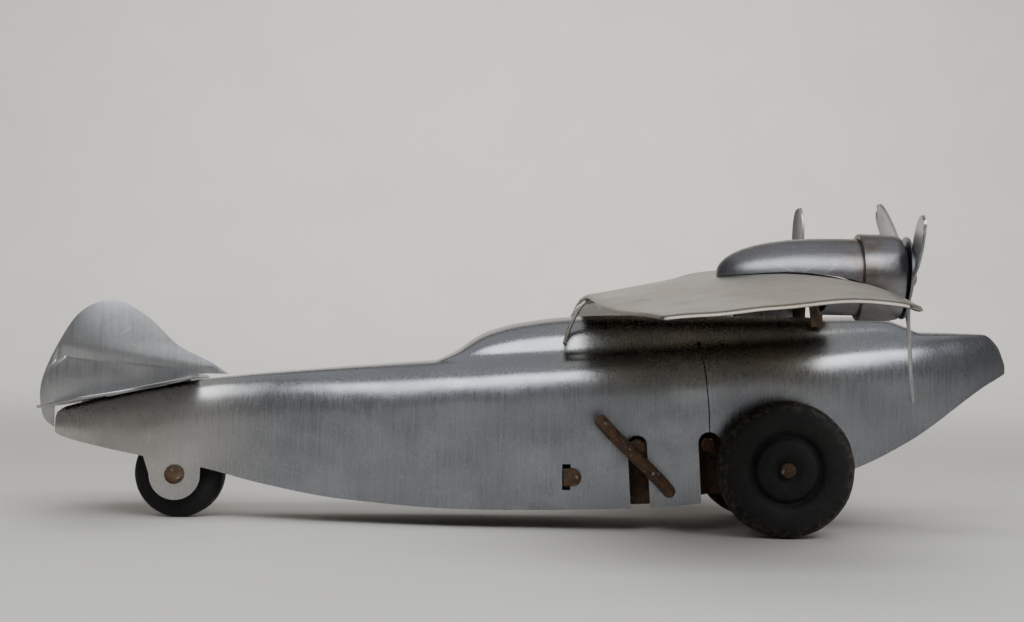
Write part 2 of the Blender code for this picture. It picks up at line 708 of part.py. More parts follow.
def click_spring(material):
    """A wire clip on the great wheel behind the click."""
    pivot = click_place()
    base = Vector((pivot[0], pivot[1])) + Vector((4.2, 2.2))
    middle = spline_points([(0.0, 0.0), (-2.4, 1.8), (-5.6, 1.6), (-8.0, 0.2)], 2)
    thickness = Vector((0.0, 0.6))
    line = [base + Vector(point) for point in middle]
    outline = [tuple(p + thickness) for p in line] + [tuple(p) for p in reversed(line)]
    low = RATCHET_Y[0]
    return prism("click_spring", outline, (low, low + 1.0), material)


def mainspring(material):
    """A flat steel ribbon wound in a spiral round the arbor."""
    turns, steps = 5, 15
    inner, outer, ribbon = ARBOR_RADIUS + 2 * GAP, 15.6, 0.6
    total = turns * steps
    rims = []
    for extra in (0.0, ribbon):
        line = []
        for k in range(total + 1):
            radius = inner + (outer - inner) * k / total + extra
            angle = 2 * math.pi * k / steps
            line.append((radius * math.cos(angle), radius * math.sin(angle)))
        rims.append(line)
    y_range = (-8.6, 3.4)
    vertices = []
    for low, high in zip(*rims):
        for y in y_range:
            vertices += [(low[0], y, low[1]), (high[0], y, high[1])]
    faces = [(0, 1, 3, 2)]
    for k in range(total):
        a, b = 4 * k, 4 * k + 4
        faces += [(a, a + 1, b + 1, b), (a + 2, b + 2, b + 3, a + 3)]
        faces += [(a, b, b + 2, a + 2), (a + 1, a + 3, b + 3, b + 1)]
    end = 4 * total
    faces.append((end, end + 2, end + 3, end + 1))
    centre = (WINDING_ARBOR[0], 0.0, WINDING_ARBOR[1])
    return add_object("mainspring", vertices, faces, material, centre)


def plate_outline():
    return [(9.5, 13.0), (20.0, 9.4), (36.5, 8.2), (46.0, 8.8), (60.0, 12.0), (92.0, 12.0),
            (95.0, 16.0), (95.0, 36.0), (88.0, 46.0), (56.0, 52.0), (44.0, 52.0), (18.0, 45.5),
            (9.5, 42.0)]


def motor_plate(side_name, side, material):
    """A side plate with the pivots' holes, and a tab bent over outside the hull."""
    inner, outer = side * PLATE_INNER, side * (PLATE_INNER + PLATE_THICKNESS)
    plate = prism(f"motor_plate_{side_name}", plate_outline(), (inner, outer), material)
    hull_side = 25.0 + GAP
    x0, x1, z0, z1 = TAB_HOLE
    leg_x = (x0 + 0.5, x0 + 0.5 + SHEET)
    leg_z = (z0 + 1.5, z1 - 1.5)
    leg = [(leg_x[0], leg_z[0]), (leg_x[1], leg_z[0]), (leg_x[1], leg_z[1]), (leg_x[0], leg_z[1])]
    end_y = side * (hull_side + SHEET)
    leg_end = prism(f"cutter_tab_leg_{side_name}", leg, (side * (PLATE_INNER + 0.5), end_y), None)
    middle = (leg_z[0] + leg_z[1]) / 2
    round_end = arc_points((x0 + 3.2, middle), (leg_z[1] - leg_z[0]) / 2, -90, 90, 8)
    cap = [(leg_x[0] + 0.1, leg_z[0]), *round_end, (leg_x[0] + 0.1, leg_z[1])]
    cap_y = (side * hull_side, side * (hull_side + SHEET + 0.1))
    tab = prism(f"cutter_tab_cap_{side_name}", cap, cap_y, None)
    for piece in (leg_end, tab):
        cut(plate, piece)
        plate.modifiers[-1].operation = "UNION"
    holes = [(WINDING_ARBOR, ARBOR_RADIUS + GAP), (SECOND_ARBOR, SECOND_RADIUS + GAP),
             (MAIN_AXLE, MAIN_AXLE_RADIUS + GAP)]
    holes += [(place, PILLAR_END_RADIUS + GAP) for place in PILLARS]
    reach = (side * (PLATE_INNER - 2), side * (PLATE_INNER + 3))
    cut(plate, hole_cutter(f"cutter_plate_{side_name}", holes, reach, 16))
    return plate


def pillars(material):
    shoulder = PLATE_INNER - GAP
    end = PLATE_INNER + PLATE_THICKNESS + 0.4
    for number, (x, z) in enumerate(PILLARS, 1):
        half = [(shoulder, PILLAR_RADIUS), (shoulder, PILLAR_END_RADIUS),
                (end, PILLAR_END_RADIUS), (end, 0.0)]
        profile = [(-y, r) for y, r in reversed(half)] + half
        turned(f"pillar_{number}", profile, "Y", 12, material, (x, 0.0, z))


def motor_strap(material):
    """The flat bar that joins the side plates below the main axle."""
    side = PLATE_INNER - GAP
    outline = [(72.0, 11.6), (91.5, 11.6), (91.5, 12.8), (72.0, 12.8)]
    return prism("motor_strap", outline, (-side, side), material)


def winding_arbor(material):
    """The spring's arbor, which runs out through the starboard slot to the key."""
    end = PLATE_INNER + PLATE_THICKNESS + 0.8
    profile = [(-35.1, 0.0), (-35.1, 2.7), (-33.0, 2.7), (-33.0, ARBOR_RADIUS),
               (end, ARBOR_RADIUS), (end, 0.0)]
    origin = (WINDING_ARBOR[0], 0.0, WINDING_ARBOR[1])
    return turned("winding_arbor", profile, "Y", 18, material, origin)


def winding_key(material):
    """The cross bar that fingers turn: a straight rod with round ends."""
    ends = (2.0, 1.6, 1.0, 0.0)
    heights = (0.0, 1.15, 1.7, KEY_RADIUS)
    half = KEY_LENGTH / 2
    profile = [(-half + 2.0 - e, r) for e, r in zip(ends, heights)]
    profile += [(half - 2.0 + e, r) for e, r in reversed(list(zip(ends, heights)))]
    origin = (WINDING_ARBOR[0], -35.1 - GAP - KEY_RADIUS, WINDING_ARBOR[1])
    bar = turned("winding_key", profile, "X", 12, material, origin)
    cosine, sine = math.cos(KEY_ANGLE), math.sin(KEY_ANGLE)
    shift = Vector((sine, 0.0, -cosine)) * KEY_OFFSET + Vector((cosine, 0.0, sine)) * KEY_SLIDE
    for vertex in bar.data.vertices:
        x, z = vertex.co.x, vertex.co.z
        turned_x = x * cosine - z * sine
        turned_z = x * sine + z * cosine
        vertex.co = Vector((turned_x, vertex.co.y, turned_z)) + shift * MM
    return bar


def clockwork(steel, brass):
    first = bearing(WINDING_ARBOR, SECOND_ARBOR)
    second = bearing(SECOND_ARBOR, MAIN_AXLE)
    first_module = 2 * math.dist(WINDING_ARBOR, SECOND_ARBOR) / (GREAT_TEETH + SECOND_PINION_TEETH)
    second_module = 2 * math.dist(SECOND_ARBOR, MAIN_AXLE) / (SECOND_WHEEL_TEETH
                                                              + AXLE_PINION_TEETH)
    great = gear("great_wheel", GREAT_TEETH, first_module, first, GREAT_WHEEL_Y,
                 ARBOR_RADIUS + GAP, WINDING_ARBOR, brass)
    pin_hole = hole_cutter("cutter_click_pin", [(click_place(), 0.8 + GAP)], (-40.0, 40.0), 12)
    cut(great, pin_hole)
    meshing = first + math.pi + math.pi / SECOND_PINION_TEETH
    gear("second_pinion", SECOND_PINION_TEETH, first_module, meshing, SECOND_PINION_Y,
         SECOND_RADIUS + GAP, SECOND_ARBOR, steel)
    gear("second_wheel", SECOND_WHEEL_TEETH, second_module, second, SECOND_WHEEL_Y,
         SECOND_RADIUS + GAP, SECOND_ARBOR, brass)
    meshing = second + math.pi + math.pi / AXLE_PINION_TEETH
    gear("axle_pinion", AXLE_PINION_TEETH, second_module, meshing, AXLE_PINION_Y,
         MAIN_AXLE_RADIUS + GAP, MAIN_AXLE, steel)
    ratchet_wheel(steel)
    click(steel)
    x, z = click_place()
    pin = [(-14.9, 0.0), (-14.9, 1.6), (-14.3, 1.6), (-14.3, 0.8), (-10.8, 0.8), (-10.8, 1.5),
           (-10.2, 1.5), (-10.2, 0.0)]
    turned("click_pin", pin, "Y", 12, steel, (x, 0.0, z))
    click_spring(steel)
    mainspring(steel)
    end = PLATE_INNER + PLATE_THICKNESS + 0.8
    shaft = [(-25.6, 0.0), (-25.6, 2.2), (-23.4, 2.2), (-23.4, SECOND_RADIUS),
             (end, SECOND_RADIUS), (end, 0.0)]
    turned("second_arbor", shaft, "Y", 16, steel, (SECOND_ARBOR[0], 0.0, SECOND_ARBOR[1]))


# ---------------------------------------------------------------- whole object
def build():
    for obj in list(bpy.data.objects):
        bpy.data.objects.remove(obj)
    aluminium = add_material("aluminium_sheet", (0.55, 0.56, 0.58), 1.0, 0.35)
    rust = add_material("rusty_steel", (0.17, 0.09, 0.05), 0.6, 0.7)
    steel = add_material("motor_steel", (0.30, 0.28, 0.26), 0.9, 0.5)
    brass = add_material("gear_brass", (0.55, 0.40, 0.16), 0.9, 0.4)
    rubber = add_material("wheel_rubber", (0.03, 0.03, 0.032), 0.0, 0.75)
    dark = add_material("tail_rubber", (0.012, 0.012, 0.014), 0.0, 0.6)

    hull_shell(aluminium)
    fin(aluminium)
    tailplane(aluminium)
    wing(aluminium)
    wing_brackets(aluminium)
    for side_name, side in SIDES:
        engine_pod(side_name, side, aluminium)
        cowl_ring(side_name, side, aluminium)
        bulkhead(side_name, side, aluminium)
        propeller_pin(side_name, side, steel)
        propeller(side_name, side, FIRST_BLADE[side_name], aluminium)
        main_wheel(side_name, side, rubber)
        motor_plate(side_name, side, rust)
    headed_rod("main_axle", MAIN_AXLE, MAIN_AXLE_RADIUS, 2.5, MAIN_WHEEL_OUTER - 0.5, 42.0, rust)
    tail_wheel(dark)
    ear_face = half_width(TAIL_AXLE[0]) + GAP
    headed_rod("tail_axle", TAIL_AXLE, TAIL_AXLE_RADIUS, TAIL_HEAD_RADIUS, ear_face,
               ear_face + 1.0, rust)
    pillars(steel)
    motor_strap(steel)
    winding_arbor(rust)
    winding_key(rust)
    clockwork(steel, brass)


build()
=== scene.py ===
import json
import math

import bmesh
import bpy
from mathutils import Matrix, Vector, noise


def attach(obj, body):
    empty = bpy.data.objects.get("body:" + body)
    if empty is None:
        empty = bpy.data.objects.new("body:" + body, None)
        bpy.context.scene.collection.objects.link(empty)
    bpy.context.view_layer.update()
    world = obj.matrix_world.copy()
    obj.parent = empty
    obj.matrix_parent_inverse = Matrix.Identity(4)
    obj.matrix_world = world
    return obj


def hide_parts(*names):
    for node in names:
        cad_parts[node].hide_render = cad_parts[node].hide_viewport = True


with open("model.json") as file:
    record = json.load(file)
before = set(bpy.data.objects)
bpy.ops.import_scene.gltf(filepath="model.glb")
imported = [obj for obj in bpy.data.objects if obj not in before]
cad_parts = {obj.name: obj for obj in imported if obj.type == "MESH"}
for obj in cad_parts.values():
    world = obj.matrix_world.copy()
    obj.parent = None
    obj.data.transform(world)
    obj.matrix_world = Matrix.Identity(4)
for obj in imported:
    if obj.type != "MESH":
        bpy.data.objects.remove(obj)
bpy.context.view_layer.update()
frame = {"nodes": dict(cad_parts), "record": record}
SLOT_OF = {row["node"]: row["material_slot"] for row in frame["record"]["subparts"]}
MM = 0.001

# ---------------------------------------------------------------- dimensions (mm)
GAP = 0.3
SHEET = 0.9
NOSE_X = 160.0
TAIL_X = -153.0
HULL_HALF_WIDTH = [(-153.0, 7.2), (-140.0, 9.6), (-126.0, 11.0), (-103.0, 11.0), (-60.0, 18.5),
                   (-20.0, 23.5), (25.0, 25.0), (92.0, 25.0), (120.0, 22.0), (142.0, 15.5),
                   (154.0, 9.0), (160.0, 3.0)]
HULL_DECK = [(-153.0, 33.6), (-151.0, 35.0), (-148.0, 35.9), (-110.0, 44.1), (-95.0, 46.3),
             (-27.0, 52.7), (14.5, 55.9), (93.0, 62.0), (128.0, 64.6), (152.0, 64.3),
             (157.5, 60.5), (160.0, 55.5)]
HULL_BOTTOM = [(-153.0, 27.6), (-150.8, 26.4), (-137.0, 23.1), (-103.5, 17.0), (-84.5, 12.5), (-55.0, 8.1),
               (-15.0, 6.1), (20.0, 6.8), (57.0, 9.3), (62.0, 12.4), (86.0, 14.5),
               (107.6, 21.6), (125.9, 30.9), (151.2, 47.8), (160.0, 52.0)]
CABIN_RISE = [(-28.0, 0.0), (-21.0, 3.1), (-16.0, 6.3), (-10.9, 8.6), (0.0, 10.8),
              (14.6, 11.7), (60.0, 9.3), (93.0, 6.9), (118.0, 4.8), (124.6, 2.4), (129.0, 0.0)]
SHOULDER_HEIGHT = 14.0
CREASE_RATIO = 0.66
DECK_ARCH = 0.8
CABIN_ROUNDNESS = 2.6
MAIN_AXLE = (82.6, 21.45)
MAIN_WHEEL_RADIUS = 21.45
MAIN_WHEEL_Y = (28.0, 41.0)
MAIN_AXLE_RADIUS = 1.8
MAIN_HEAD_RADIUS = 2.35
TAIL_AXLE = (-112.7, 14.7)
TAIL_WHEEL_RADIUS = 14.7
TAIL_WHEEL_HALF_WIDTH = 5.5
TAIL_AXLE_RADIUS = 1.5
TAIL_HEAD_RADIUS = 3.1
EAR_RADIUS = 8.4
WINDING_ARBOR = (36.5, 27.2)
SECOND_ARBOR = (59.5, 28.2)
TAB_HOLE = (13.4, 16.0, 12.9, 21.1)
SLOT_1 = (37.1, 27.5, 3.1)
SLOT_2 = (60.0, 28.6, 3.5)
SLOT_LEAN = 0.065
KEY_LENGTH = 34.0
KEY_RADIUS = 2.05
KEY_ANGLE = math.radians(-45.0)
KEY_OFFSET = 2.4
KEY_SLIDE = 1.1
KEY_NEAR_Y = -35.4
BRACKET_Y = (16.0, 20.2)
FRONT_BRACKET_TOP = (97.4, 91.6)
FRONT_BRACKET_FOOT = [(93.4, 66.2), (96.8, 66.2)]
WING_HALF_SPAN = 170.0
WING_DROOP = 12.5
WING_TIP_FLATTENING = 2.3
WING_TRAILING_X = 20.5
WING_LEADING_X = 99.5
WING_LEADING_BOW = 2.6
TIP_REAR_START = 110.0
TIP_REAR_CUT = 12.0
TIP_FRONT_START = 135.0
TIP_FRONT_CUT = 8.0
WING_CAMBER = [(0.0, 75.0), (0.3, 79.8), (0.475, 82.8), (0.65, 83.8), (0.85, 82.3),
               (0.95, 79.9), (1.0, 77.2)]
WING_LIP = [(0.30, -0.10), (0.50, -0.35), (0.58, -0.75)]
WING_SHEET = 0.8
FIN_OUTLINE = [(-97.3, 47.5), (-103.7, 51.6), (-114.5, 57.0), (-125.0, 66.4), (-136.0, 71.6),
               (-146.3, 68.0), (-153.4, 58.5), (-159.6, 44.0), (-159.0, 33.0), (-155.2, 28.9)]
TAIL_DECK = (-148.0, -110.0)
FIN_TABS = [(-146.0, -138.0), (-118.0, -110.0)]
TAIL_CENTRE_X = -131.0
TAIL_HALF_CHORD = 24.5
TAIL_HALF_SPAN = 50.0
ENGINE_Y = 92.0
ENGINE_Z = 79.0
POD_REAR = 53.2
POD_ROUND_END = 86.0
POD_FRONT = 103.5
POD_RADIUS = 10.7
POD_LOWER_START = 84.0
COWL_REAR = 92.3
COWL_RADIUS = 12.1
COWL_FRONT = 104.0
CAP_RADIUS = 11.5
PROP_X = 106.7
PROP_RADIUS = 35.0
PROP_HUB_RADIUS = 6.5
PROP_SHEET = 0.8
PROP_PITCHES = {"right": (12.0, -2.0, 0.0), "left": (16.0, 12.0, 12.0)}
PROP_BENDS = {"right": (-2.6, 2.9, 3.4), "left": (-0.4, -0.6, -0.6)}
PROP_BEND_POWER = 0.9
FIRST_BLADE = {"right": math.radians(-82.0), "left": math.radians(90.0)}
SIDES = (("right", -1.0), ("left", 1.0))


# ---------------------------------------------------------------- shape tools
def smooth_curve(points):
    """A monotone cubic through the points, as a function of the first coordinate."""
    xs = [point[0] for point in points]
    zs = [point[1] for point in points]
    count = len(xs)
    slopes = [(zs[i + 1] - zs[i]) / (xs[i + 1] - xs[i]) for i in range(count - 1)]
    tangents = [slopes[0]]
    for i in range(1, count - 1):
        same_sign = slopes[i - 1] * slopes[i] > 0
        tangents.append(2 / (1 / slopes[i - 1] + 1 / slopes[i]) if same_sign else 0.0)
    tangents.append(slopes[-1])

    def value(x):
        x = min(max(x, xs[0]), xs[-1])
        i = max(k for k in range(count - 1) if xs[k] <= x)
        width = xs[i + 1] - xs[i]
        t = (x - xs[i]) / width
        start = (1 + 2 * t) * (1 - t) ** 2 * zs[i] + t * (1 - t) ** 2 * width * tangents[i]
        end = t * t * (3 - 2 * t) * zs[i + 1] + t * t * (t - 1) * width * tangents[i + 1]
        return start + end

    return value


def spline_points(points, steps):
    """Points along a Catmull-Rom spline through the given ones."""
    padded = [points[0]] + points + [points[-1]]
    result = []
    for i in range(1, len(padded) - 2):
        a, b, c, d = (Vector(padded[k]) for k in (i - 1, i, i + 1, i + 2))
        for step in range(steps):
            t = step / steps
            along = 2 * b + (c - a) * t + (2 * a - 5 * b + 4 * c - d) * t * t
            result.append(tuple((along + (3 * b - a - 3 * c + d) * t ** 3) / 2))
    result.append(tuple(points[-1]))
    return result


def arc_points(centre, radius, start, end, steps):
    """Points on an arc, from the start angle to the end angle in degrees."""
    angles = [math.radians(start + (end - start) * i / steps) for i in range(steps + 1)]
    return [(centre[0] + radius * math.cos(a), centre[1] + radius * math.sin(a)) for a in angles]


def between(low, high, count):
    """count + 1 evenly spaced values."""
    return [low + (high - low) * i / count for i in range(count + 1)]


def bump(x, centre, reach):
    """1 at the centre, falling smoothly to 0 at reach."""
    share = min(1.0, abs(x - centre) / reach)
    return (1 - share * share) ** 2


def ripple(x, y, z, size, depth):
    """Soft unevenness of hand-worked sheet."""
    return depth * noise.noise(Vector((x / size, y / size, z / size)))


def new_object(name, vertices, faces, closed=True, angle=35.0):
    mesh = bpy.data.meshes.new(name)
    mesh.from_pydata([[c * MM for c in vertex] for vertex in vertices], [], faces)
    if closed:
        work = bmesh.new()
        work.from_mesh(mesh)
        bmesh.ops.recalc_face_normals(work, faces=work.faces)
        work.to_mesh(mesh)
        work.free()
    mesh.shade_smooth()
    mesh.set_sharp_from_angle(angle=math.radians(angle))
    obj = bpy.data.objects.new(name, mesh)
    bpy.context.collection.objects.link(obj)
    return obj


def thicken(obj, thickness, offset):
    """Turns a surface into sheet of the given thickness."""
    modifier = obj.modifiers.new("sheet thickness", "SOLIDIFY")
    modifier.thickness = thickness * MM
    modifier.offset = offset
    modifier.use_even_offset = True


def boolean(obj, cutter):
    """Cuts one shape out of another when the piece is finished."""
    modifier = obj.modifiers.new("cut", "BOOLEAN")
    modifier.operation = "DIFFERENCE"
    modifier.object = cutter


def soften(obj, width, segments=2, angle=40.0):
    """Rounds the sharp edges."""
    modifier = obj.modifiers.new("soft edges", "BEVEL")
    modifier.width = width * MM
    modifier.segments = segments
    modifier.limit_method = "ANGLE"
    modifier.angle_limit = math.radians(angle)


def apply_all(obj, angle=35.0):
    """Keeps the shape the modifiers give, and removes the cutters they used."""
    cutters = [m.object for m in obj.modifiers if m.type == "BOOLEAN"]
    bpy.context.view_layer.update()
    graph = bpy.context.evaluated_depsgraph_get()
    mesh = bpy.data.meshes.new_from_object(obj.evaluated_get(graph))
    obj.modifiers.clear()
    obj.data = mesh
    mesh.shade_smooth()
    mesh.set_sharp_from_angle(angle=math.radians(angle))
    for cutter in cutters:
        bpy.data.objects.remove(cutter)
    return obj


def paint_piece(obj, paint, angle=35.0):
    """Keeps the shape the modifiers give, and gives the piece its one material."""
    apply_all(obj, angle)
    obj.data.materials.clear()
    obj.data.materials.append(paint)


def finish_piece(obj, body, node, paint, angle=35.0):
    """Gives a piece its finish, and puts it on its body in place of the CAD node."""
    paint_piece(obj, paint, angle)
    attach(obj, body)
    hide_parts(node)


def prism(name, outline, y_range, y_steps=1):
    """An outline in X and Z, extruded along Y."""
    count = len(outline)
    rows = between(*y_range, y_steps)
    vertices = [(x, y, z) for y in rows for x, z in outline]
    last = y_steps * count
    faces = [tuple(range(count)), tuple(range(last, last + count))]
    for row in range(y_steps):
        base = row * count
        for i in range(count):
            j = (i + 1) % count
            faces.append((base + i, base + j, base + count + j, base + count + i))
    return new_object(name, vertices, faces)


def turned(name, profile, axis, segments, origin, ring=False, angle=35.0):
    """A profile of (along, radius) pairs turned about an axis through the origin."""
    vertices = []
    rows = []
    for along, radius in profile:
        count = segments if radius > 0 else 1
        rows.append(list(range(len(vertices), len(vertices) + count)))
        for k in range(count):
            turn = 2 * math.pi * k / segments
            a, b = radius * math.cos(turn), radius * math.sin(turn)
            point = (along, a, b) if axis == "X" else (a, along, b)
            vertices.append(tuple(p + o for p, o in zip(point, origin)))
    pairs = list(zip(rows, rows[1:]))
    if ring:
        pairs.append((rows[-1], rows[0]))
    faces = []
    for low, high in pairs:
        for k in range(segments):
            m = (k + 1) % segments
            corners = (low[k % len(low)], low[m % len(low)], high[m % len(high)],
                       high[k % len(high)])
            faces.append(tuple(dict.fromkeys(corners)))
    return new_object(name, vertices, faces, angle=angle)


def grid_faces(rows, columns):
    faces = []
    for j in range(rows - 1):
        for i in range(columns - 1):
            a = j * columns + i
            faces.append((a, a + 1, a + columns + 1, a + columns))
    return faces


# ---------------------------------------------------------------- finishes
class Paint:
    """One procedural material, whose patterns are laid out in the object's own space."""

    def __init__(self, name, metallic):
        self.material = bpy.data.materials.new(name)
        self.material.use_nodes = True
        self.tree = self.material.node_tree
        self.shader = self.tree.nodes["Principled BSDF"]
        self.shader.inputs["Metallic"].default_value = metallic
        self.place = self.tree.nodes.new("ShaderNodeTexCoord").outputs["Object"]
        self.axes = None

    def feed(self, socket, value):
        if hasattr(value, "links"):
            self.tree.links.new(value, socket)
        else:
            socket.default_value = value

    def mapped(self, stretch, turn=(0.0, 0.0, 0.0)):
        """Object space in millimetres, turned, then stretched."""
        source = self.place
        if any(turn):
            spin = self.tree.nodes.new("ShaderNodeMapping")
            spin.inputs["Rotation"].default_value = [math.radians(a) for a in turn]
            self.feed(spin.inputs["Vector"], source)
            source = spin.outputs["Vector"]
        node = self.tree.nodes.new("ShaderNodeMapping")
        node.inputs["Scale"].default_value = [1000.0 * s for s in stretch]
        self.feed(node.inputs["Vector"], source)
        return node.outputs["Vector"]

    def grain(self, size, stretch=(1.0, 1.0, 1.0), turn=(0.0, 0.0, 0.0), detail=4.0, rough=0.55):
        """Noise from 0 to 1, with features of the given size in millimetres."""
        node = self.tree.nodes.new("ShaderNodeTexNoise")
        node.inputs["Scale"].default_value = 1.0
        node.inputs["Detail"].default_value = detail
        node.inputs["Roughness"].default_value = rough
        vector = self.mapped([s / size for s in stretch], turn)
        self.feed(node.inputs["Vector"], vector)
        return node.outputs["Fac"]

    def cells(self, size, stretch=(1.0, 1.0, 1.0), turn=(0.0, 0.0, 0.0)):
        """Distance to the nearest of scattered points."""
        node = self.tree.nodes.new("ShaderNodeTexVoronoi")
        node.inputs["Scale"].default_value = 1.0
        vector = self.mapped([s / size for s in stretch], turn)
        self.feed(node.inputs["Vector"], vector)
        return node.outputs["Distance"]

    def axis(self, name):
        """One coordinate, in millimetres."""
        if self.axes is None:
            self.axes = self.tree.nodes.new("ShaderNodeSeparateXYZ")
            self.feed(self.axes.inputs[0], self.mapped((1.0, 1.0, 1.0)))
        return self.axes.outputs[name]

    def span(self, value, low, high, out_low=0.0, out_high=1.0):
        """value from low..high to out_low..out_high, smoothly and clamped."""
        node = self.tree.nodes.new("ShaderNodeMapRange")
        node.interpolation_type = "SMOOTHSTEP"
        for key, number in (("From Min", low), ("From Max", high), ("To Min", out_low),
                            ("To Max", out_high)):
            node.inputs[key].default_value = number
        self.feed(node.inputs["Value"], value)
        return node.outputs["Result"]

    def sum(self, *values):
        return self.fold("ADD", values)

    def times(self, *values):
        return self.fold("MULTIPLY", values)

    def fold(self, operation, values):
        total = values[0]
        for value in values[1:]:
            node = self.tree.nodes.new("ShaderNodeMath")
            node.operation = operation
            self.feed(node.inputs[0], total)
            self.feed(node.inputs[1], value)
            total = node.outputs[0]
        return total

    def mix(self, factor, first, second, blend="MIX"):
        node = self.tree.nodes.new("ShaderNodeMix")
        node.data_type = "RGBA"
        node.blend_type = blend
        self.feed(node.inputs["Factor"], factor)
        colours = [socket for socket in node.inputs if socket.type == "RGBA"]
        for socket, colour in zip(colours, (first, second)):
            self.feed(socket, colour if hasattr(colour, "links") else (*colour, 1.0))
        return [socket for socket in node.outputs if socket.type == "RGBA"][0]

    def finish(self, colour, roughness, height, depth):
        """Links colour, roughness and a relief of the given depth in millimetres."""
        self.feed(self.shader.inputs["Base Color"], colour)
        self.feed(self.shader.inputs["Roughness"], roughness)
        node = self.tree.nodes.new("ShaderNodeBump")
        node.inputs["Strength"].default_value = 1.0
        node.inputs["Distance"].default_value = depth * MM
        self.feed(node.inputs["Height"], height)
        self.feed(self.shader.inputs["Normal"], node.outputs["Normal"])
        return self.material


def aluminium(name, brush, tint=(1.0, 1.0, 1.0), shade=1.0, stain=0.3, gloss=0.27, extra=None):
    """Old polished aluminium: faint streaks, cloudy oxide, specks and fine crossed scratches."""
    paint = Paint(name, 1.0)
    light = tuple(0.40 * shade * c for c in tint)
    dull = tuple(0.33 * shade * c for c in tint)
    cloud = paint.span(paint.grain(30.0, detail=6.0, rough=0.6), 0.34, 0.68)
    streak = paint.grain(0.55, brush, detail=3.0)
    colour = paint.mix(cloud, dull, light)
    tone = paint.mix(paint.span(streak, 0.3, 0.7), (0.80, 0.80, 0.81), (1.10, 1.10, 1.10))
    colour = paint.mix(0.4, colour, tone, "MULTIPLY")
    patch = paint.span(paint.grain(9.0, detail=7.0, rough=0.68), 0.54, 0.76, 0.0, stain)
    colour = paint.mix(patch, colour, (0.20 * shade, 0.165 * shade, 0.125 * shade))
    specks = paint.span(paint.grain(1.1, detail=5.0, rough=0.7), 0.66, 0.76, 0.0, 0.6)
    colour = paint.mix(specks, colour, (0.09, 0.07, 0.055))
    cuts = []
    for size, turn, reach in ((0.20, (0.0, 33.0, 0.0), 0.022), (0.24, (0.0, -24.0, 12.0), 0.016),
                              (0.22, (15.0, 68.0, 0.0), 0.02), (0.26, (0.0, 8.0, 30.0), 0.014)):
        lines = paint.grain(size, (reach, 1.0, 1.0), turn, detail=1.0)
        cuts.append(paint.span(lines, 0.70, 0.76, 0.0, 0.35))
    scratches = paint.fold("MAXIMUM", cuts)
    colour = paint.mix(scratches, colour, (0.58, 0.58, 0.58))
    if extra:
        colour = extra(paint, colour)
    roughness = paint.sum(paint.span(cloud, 0.0, 1.0, gloss + 0.04, gloss),
                          paint.times(patch, 0.22), paint.times(specks, 0.2),
                          paint.span(streak, 0.3, 0.7, -0.02, 0.03), paint.times(scratches, 0.15))
    height = paint.sum(paint.times(streak, 0.06), paint.times(paint.grain(4.0, detail=4.0), 0.5),
                       paint.times(scratches, -0.12), paint.times(specks, -0.12))
    return paint.finish(colour, roughness, height, 0.06)


def hull_shade_and_aft_tint(paint, colour):
    """Painted shade: an olive-brown tint below the wing, where its shadow falls on the hull; and a lighter,
    warmer tint on the after part of the sides.
    """
    under = paint.times(paint.span(paint.axis("X"), 2.0, 40.0), paint.span(paint.axis("X"), 112.0, 84.0),
                        paint.span(paint.axis("Z"), 40.0, 60.0))
    cloud = paint.span(paint.grain(16.0, detail=5.0), 0.2, 0.75)
    # painted shade: the olive-brown tone of the wing's shadow on the upper sides of the hull
    under_wing_shade = paint.times(under, cloud, 0.7)
    colour = paint.mix(under_wing_shade, colour, (0.42, 0.38, 0.26))
    aft = paint.times(paint.span(paint.axis("X"), -70.0, -125.0), 0.45)
    return paint.mix(aft, colour, (0.62, 0.58, 0.51))


def wing_grime_and_edge_shade(paint, colour):
    """Broad brownish clouds and streaks, and painted shade: darker bands along the turned-down edges."""
    cloud = paint.span(paint.grain(30.0, (1.0, 0.6, 1.0), detail=6.0, rough=0.62), 0.42, 0.66, 0.0, 0.75)
    colour = paint.mix(cloud, colour, (0.27, 0.225, 0.16))
    streak = paint.span(paint.grain(11.0, (0.4, 1.0, 1.0), detail=5.0), 0.50, 0.72, 0.0, 0.5)
    colour = paint.mix(streak, colour, (0.17, 0.14, 0.105))
    # painted shade: darker bands along the trailing edge, leading edge and tips, where the lip turns down
    # away from the light
    rim = paint.fold("MAXIMUM", (paint.span(paint.axis("X"), 23.6, 21.0, 0.0, 0.5),
                                 paint.span(paint.axis("X"), 95.5, 98.0, 0.0, 0.4),
                                 paint.span(paint.axis("Y"), -167.6, -169.4, 0.0, 0.7),
                                 paint.span(paint.axis("Y"), 167.6, 169.4, 0.0, 0.7)))
    return paint.mix(rim, colour, (0.14, 0.118, 0.09))


def pod_grime(paint, colour):
    """A brownish band where the cowl's ring meets the pod."""
    edge = paint.times(paint.span(paint.axis("X"), 82.0, 92.0), paint.span(paint.axis("X"), 104.0, 94.0))
    mottled = paint.times(edge, paint.span(paint.grain(5.0, detail=5.0), 0.3, 0.7), 0.8)
    return paint.mix(mottled, colour, (0.13, 0.095, 0.07))


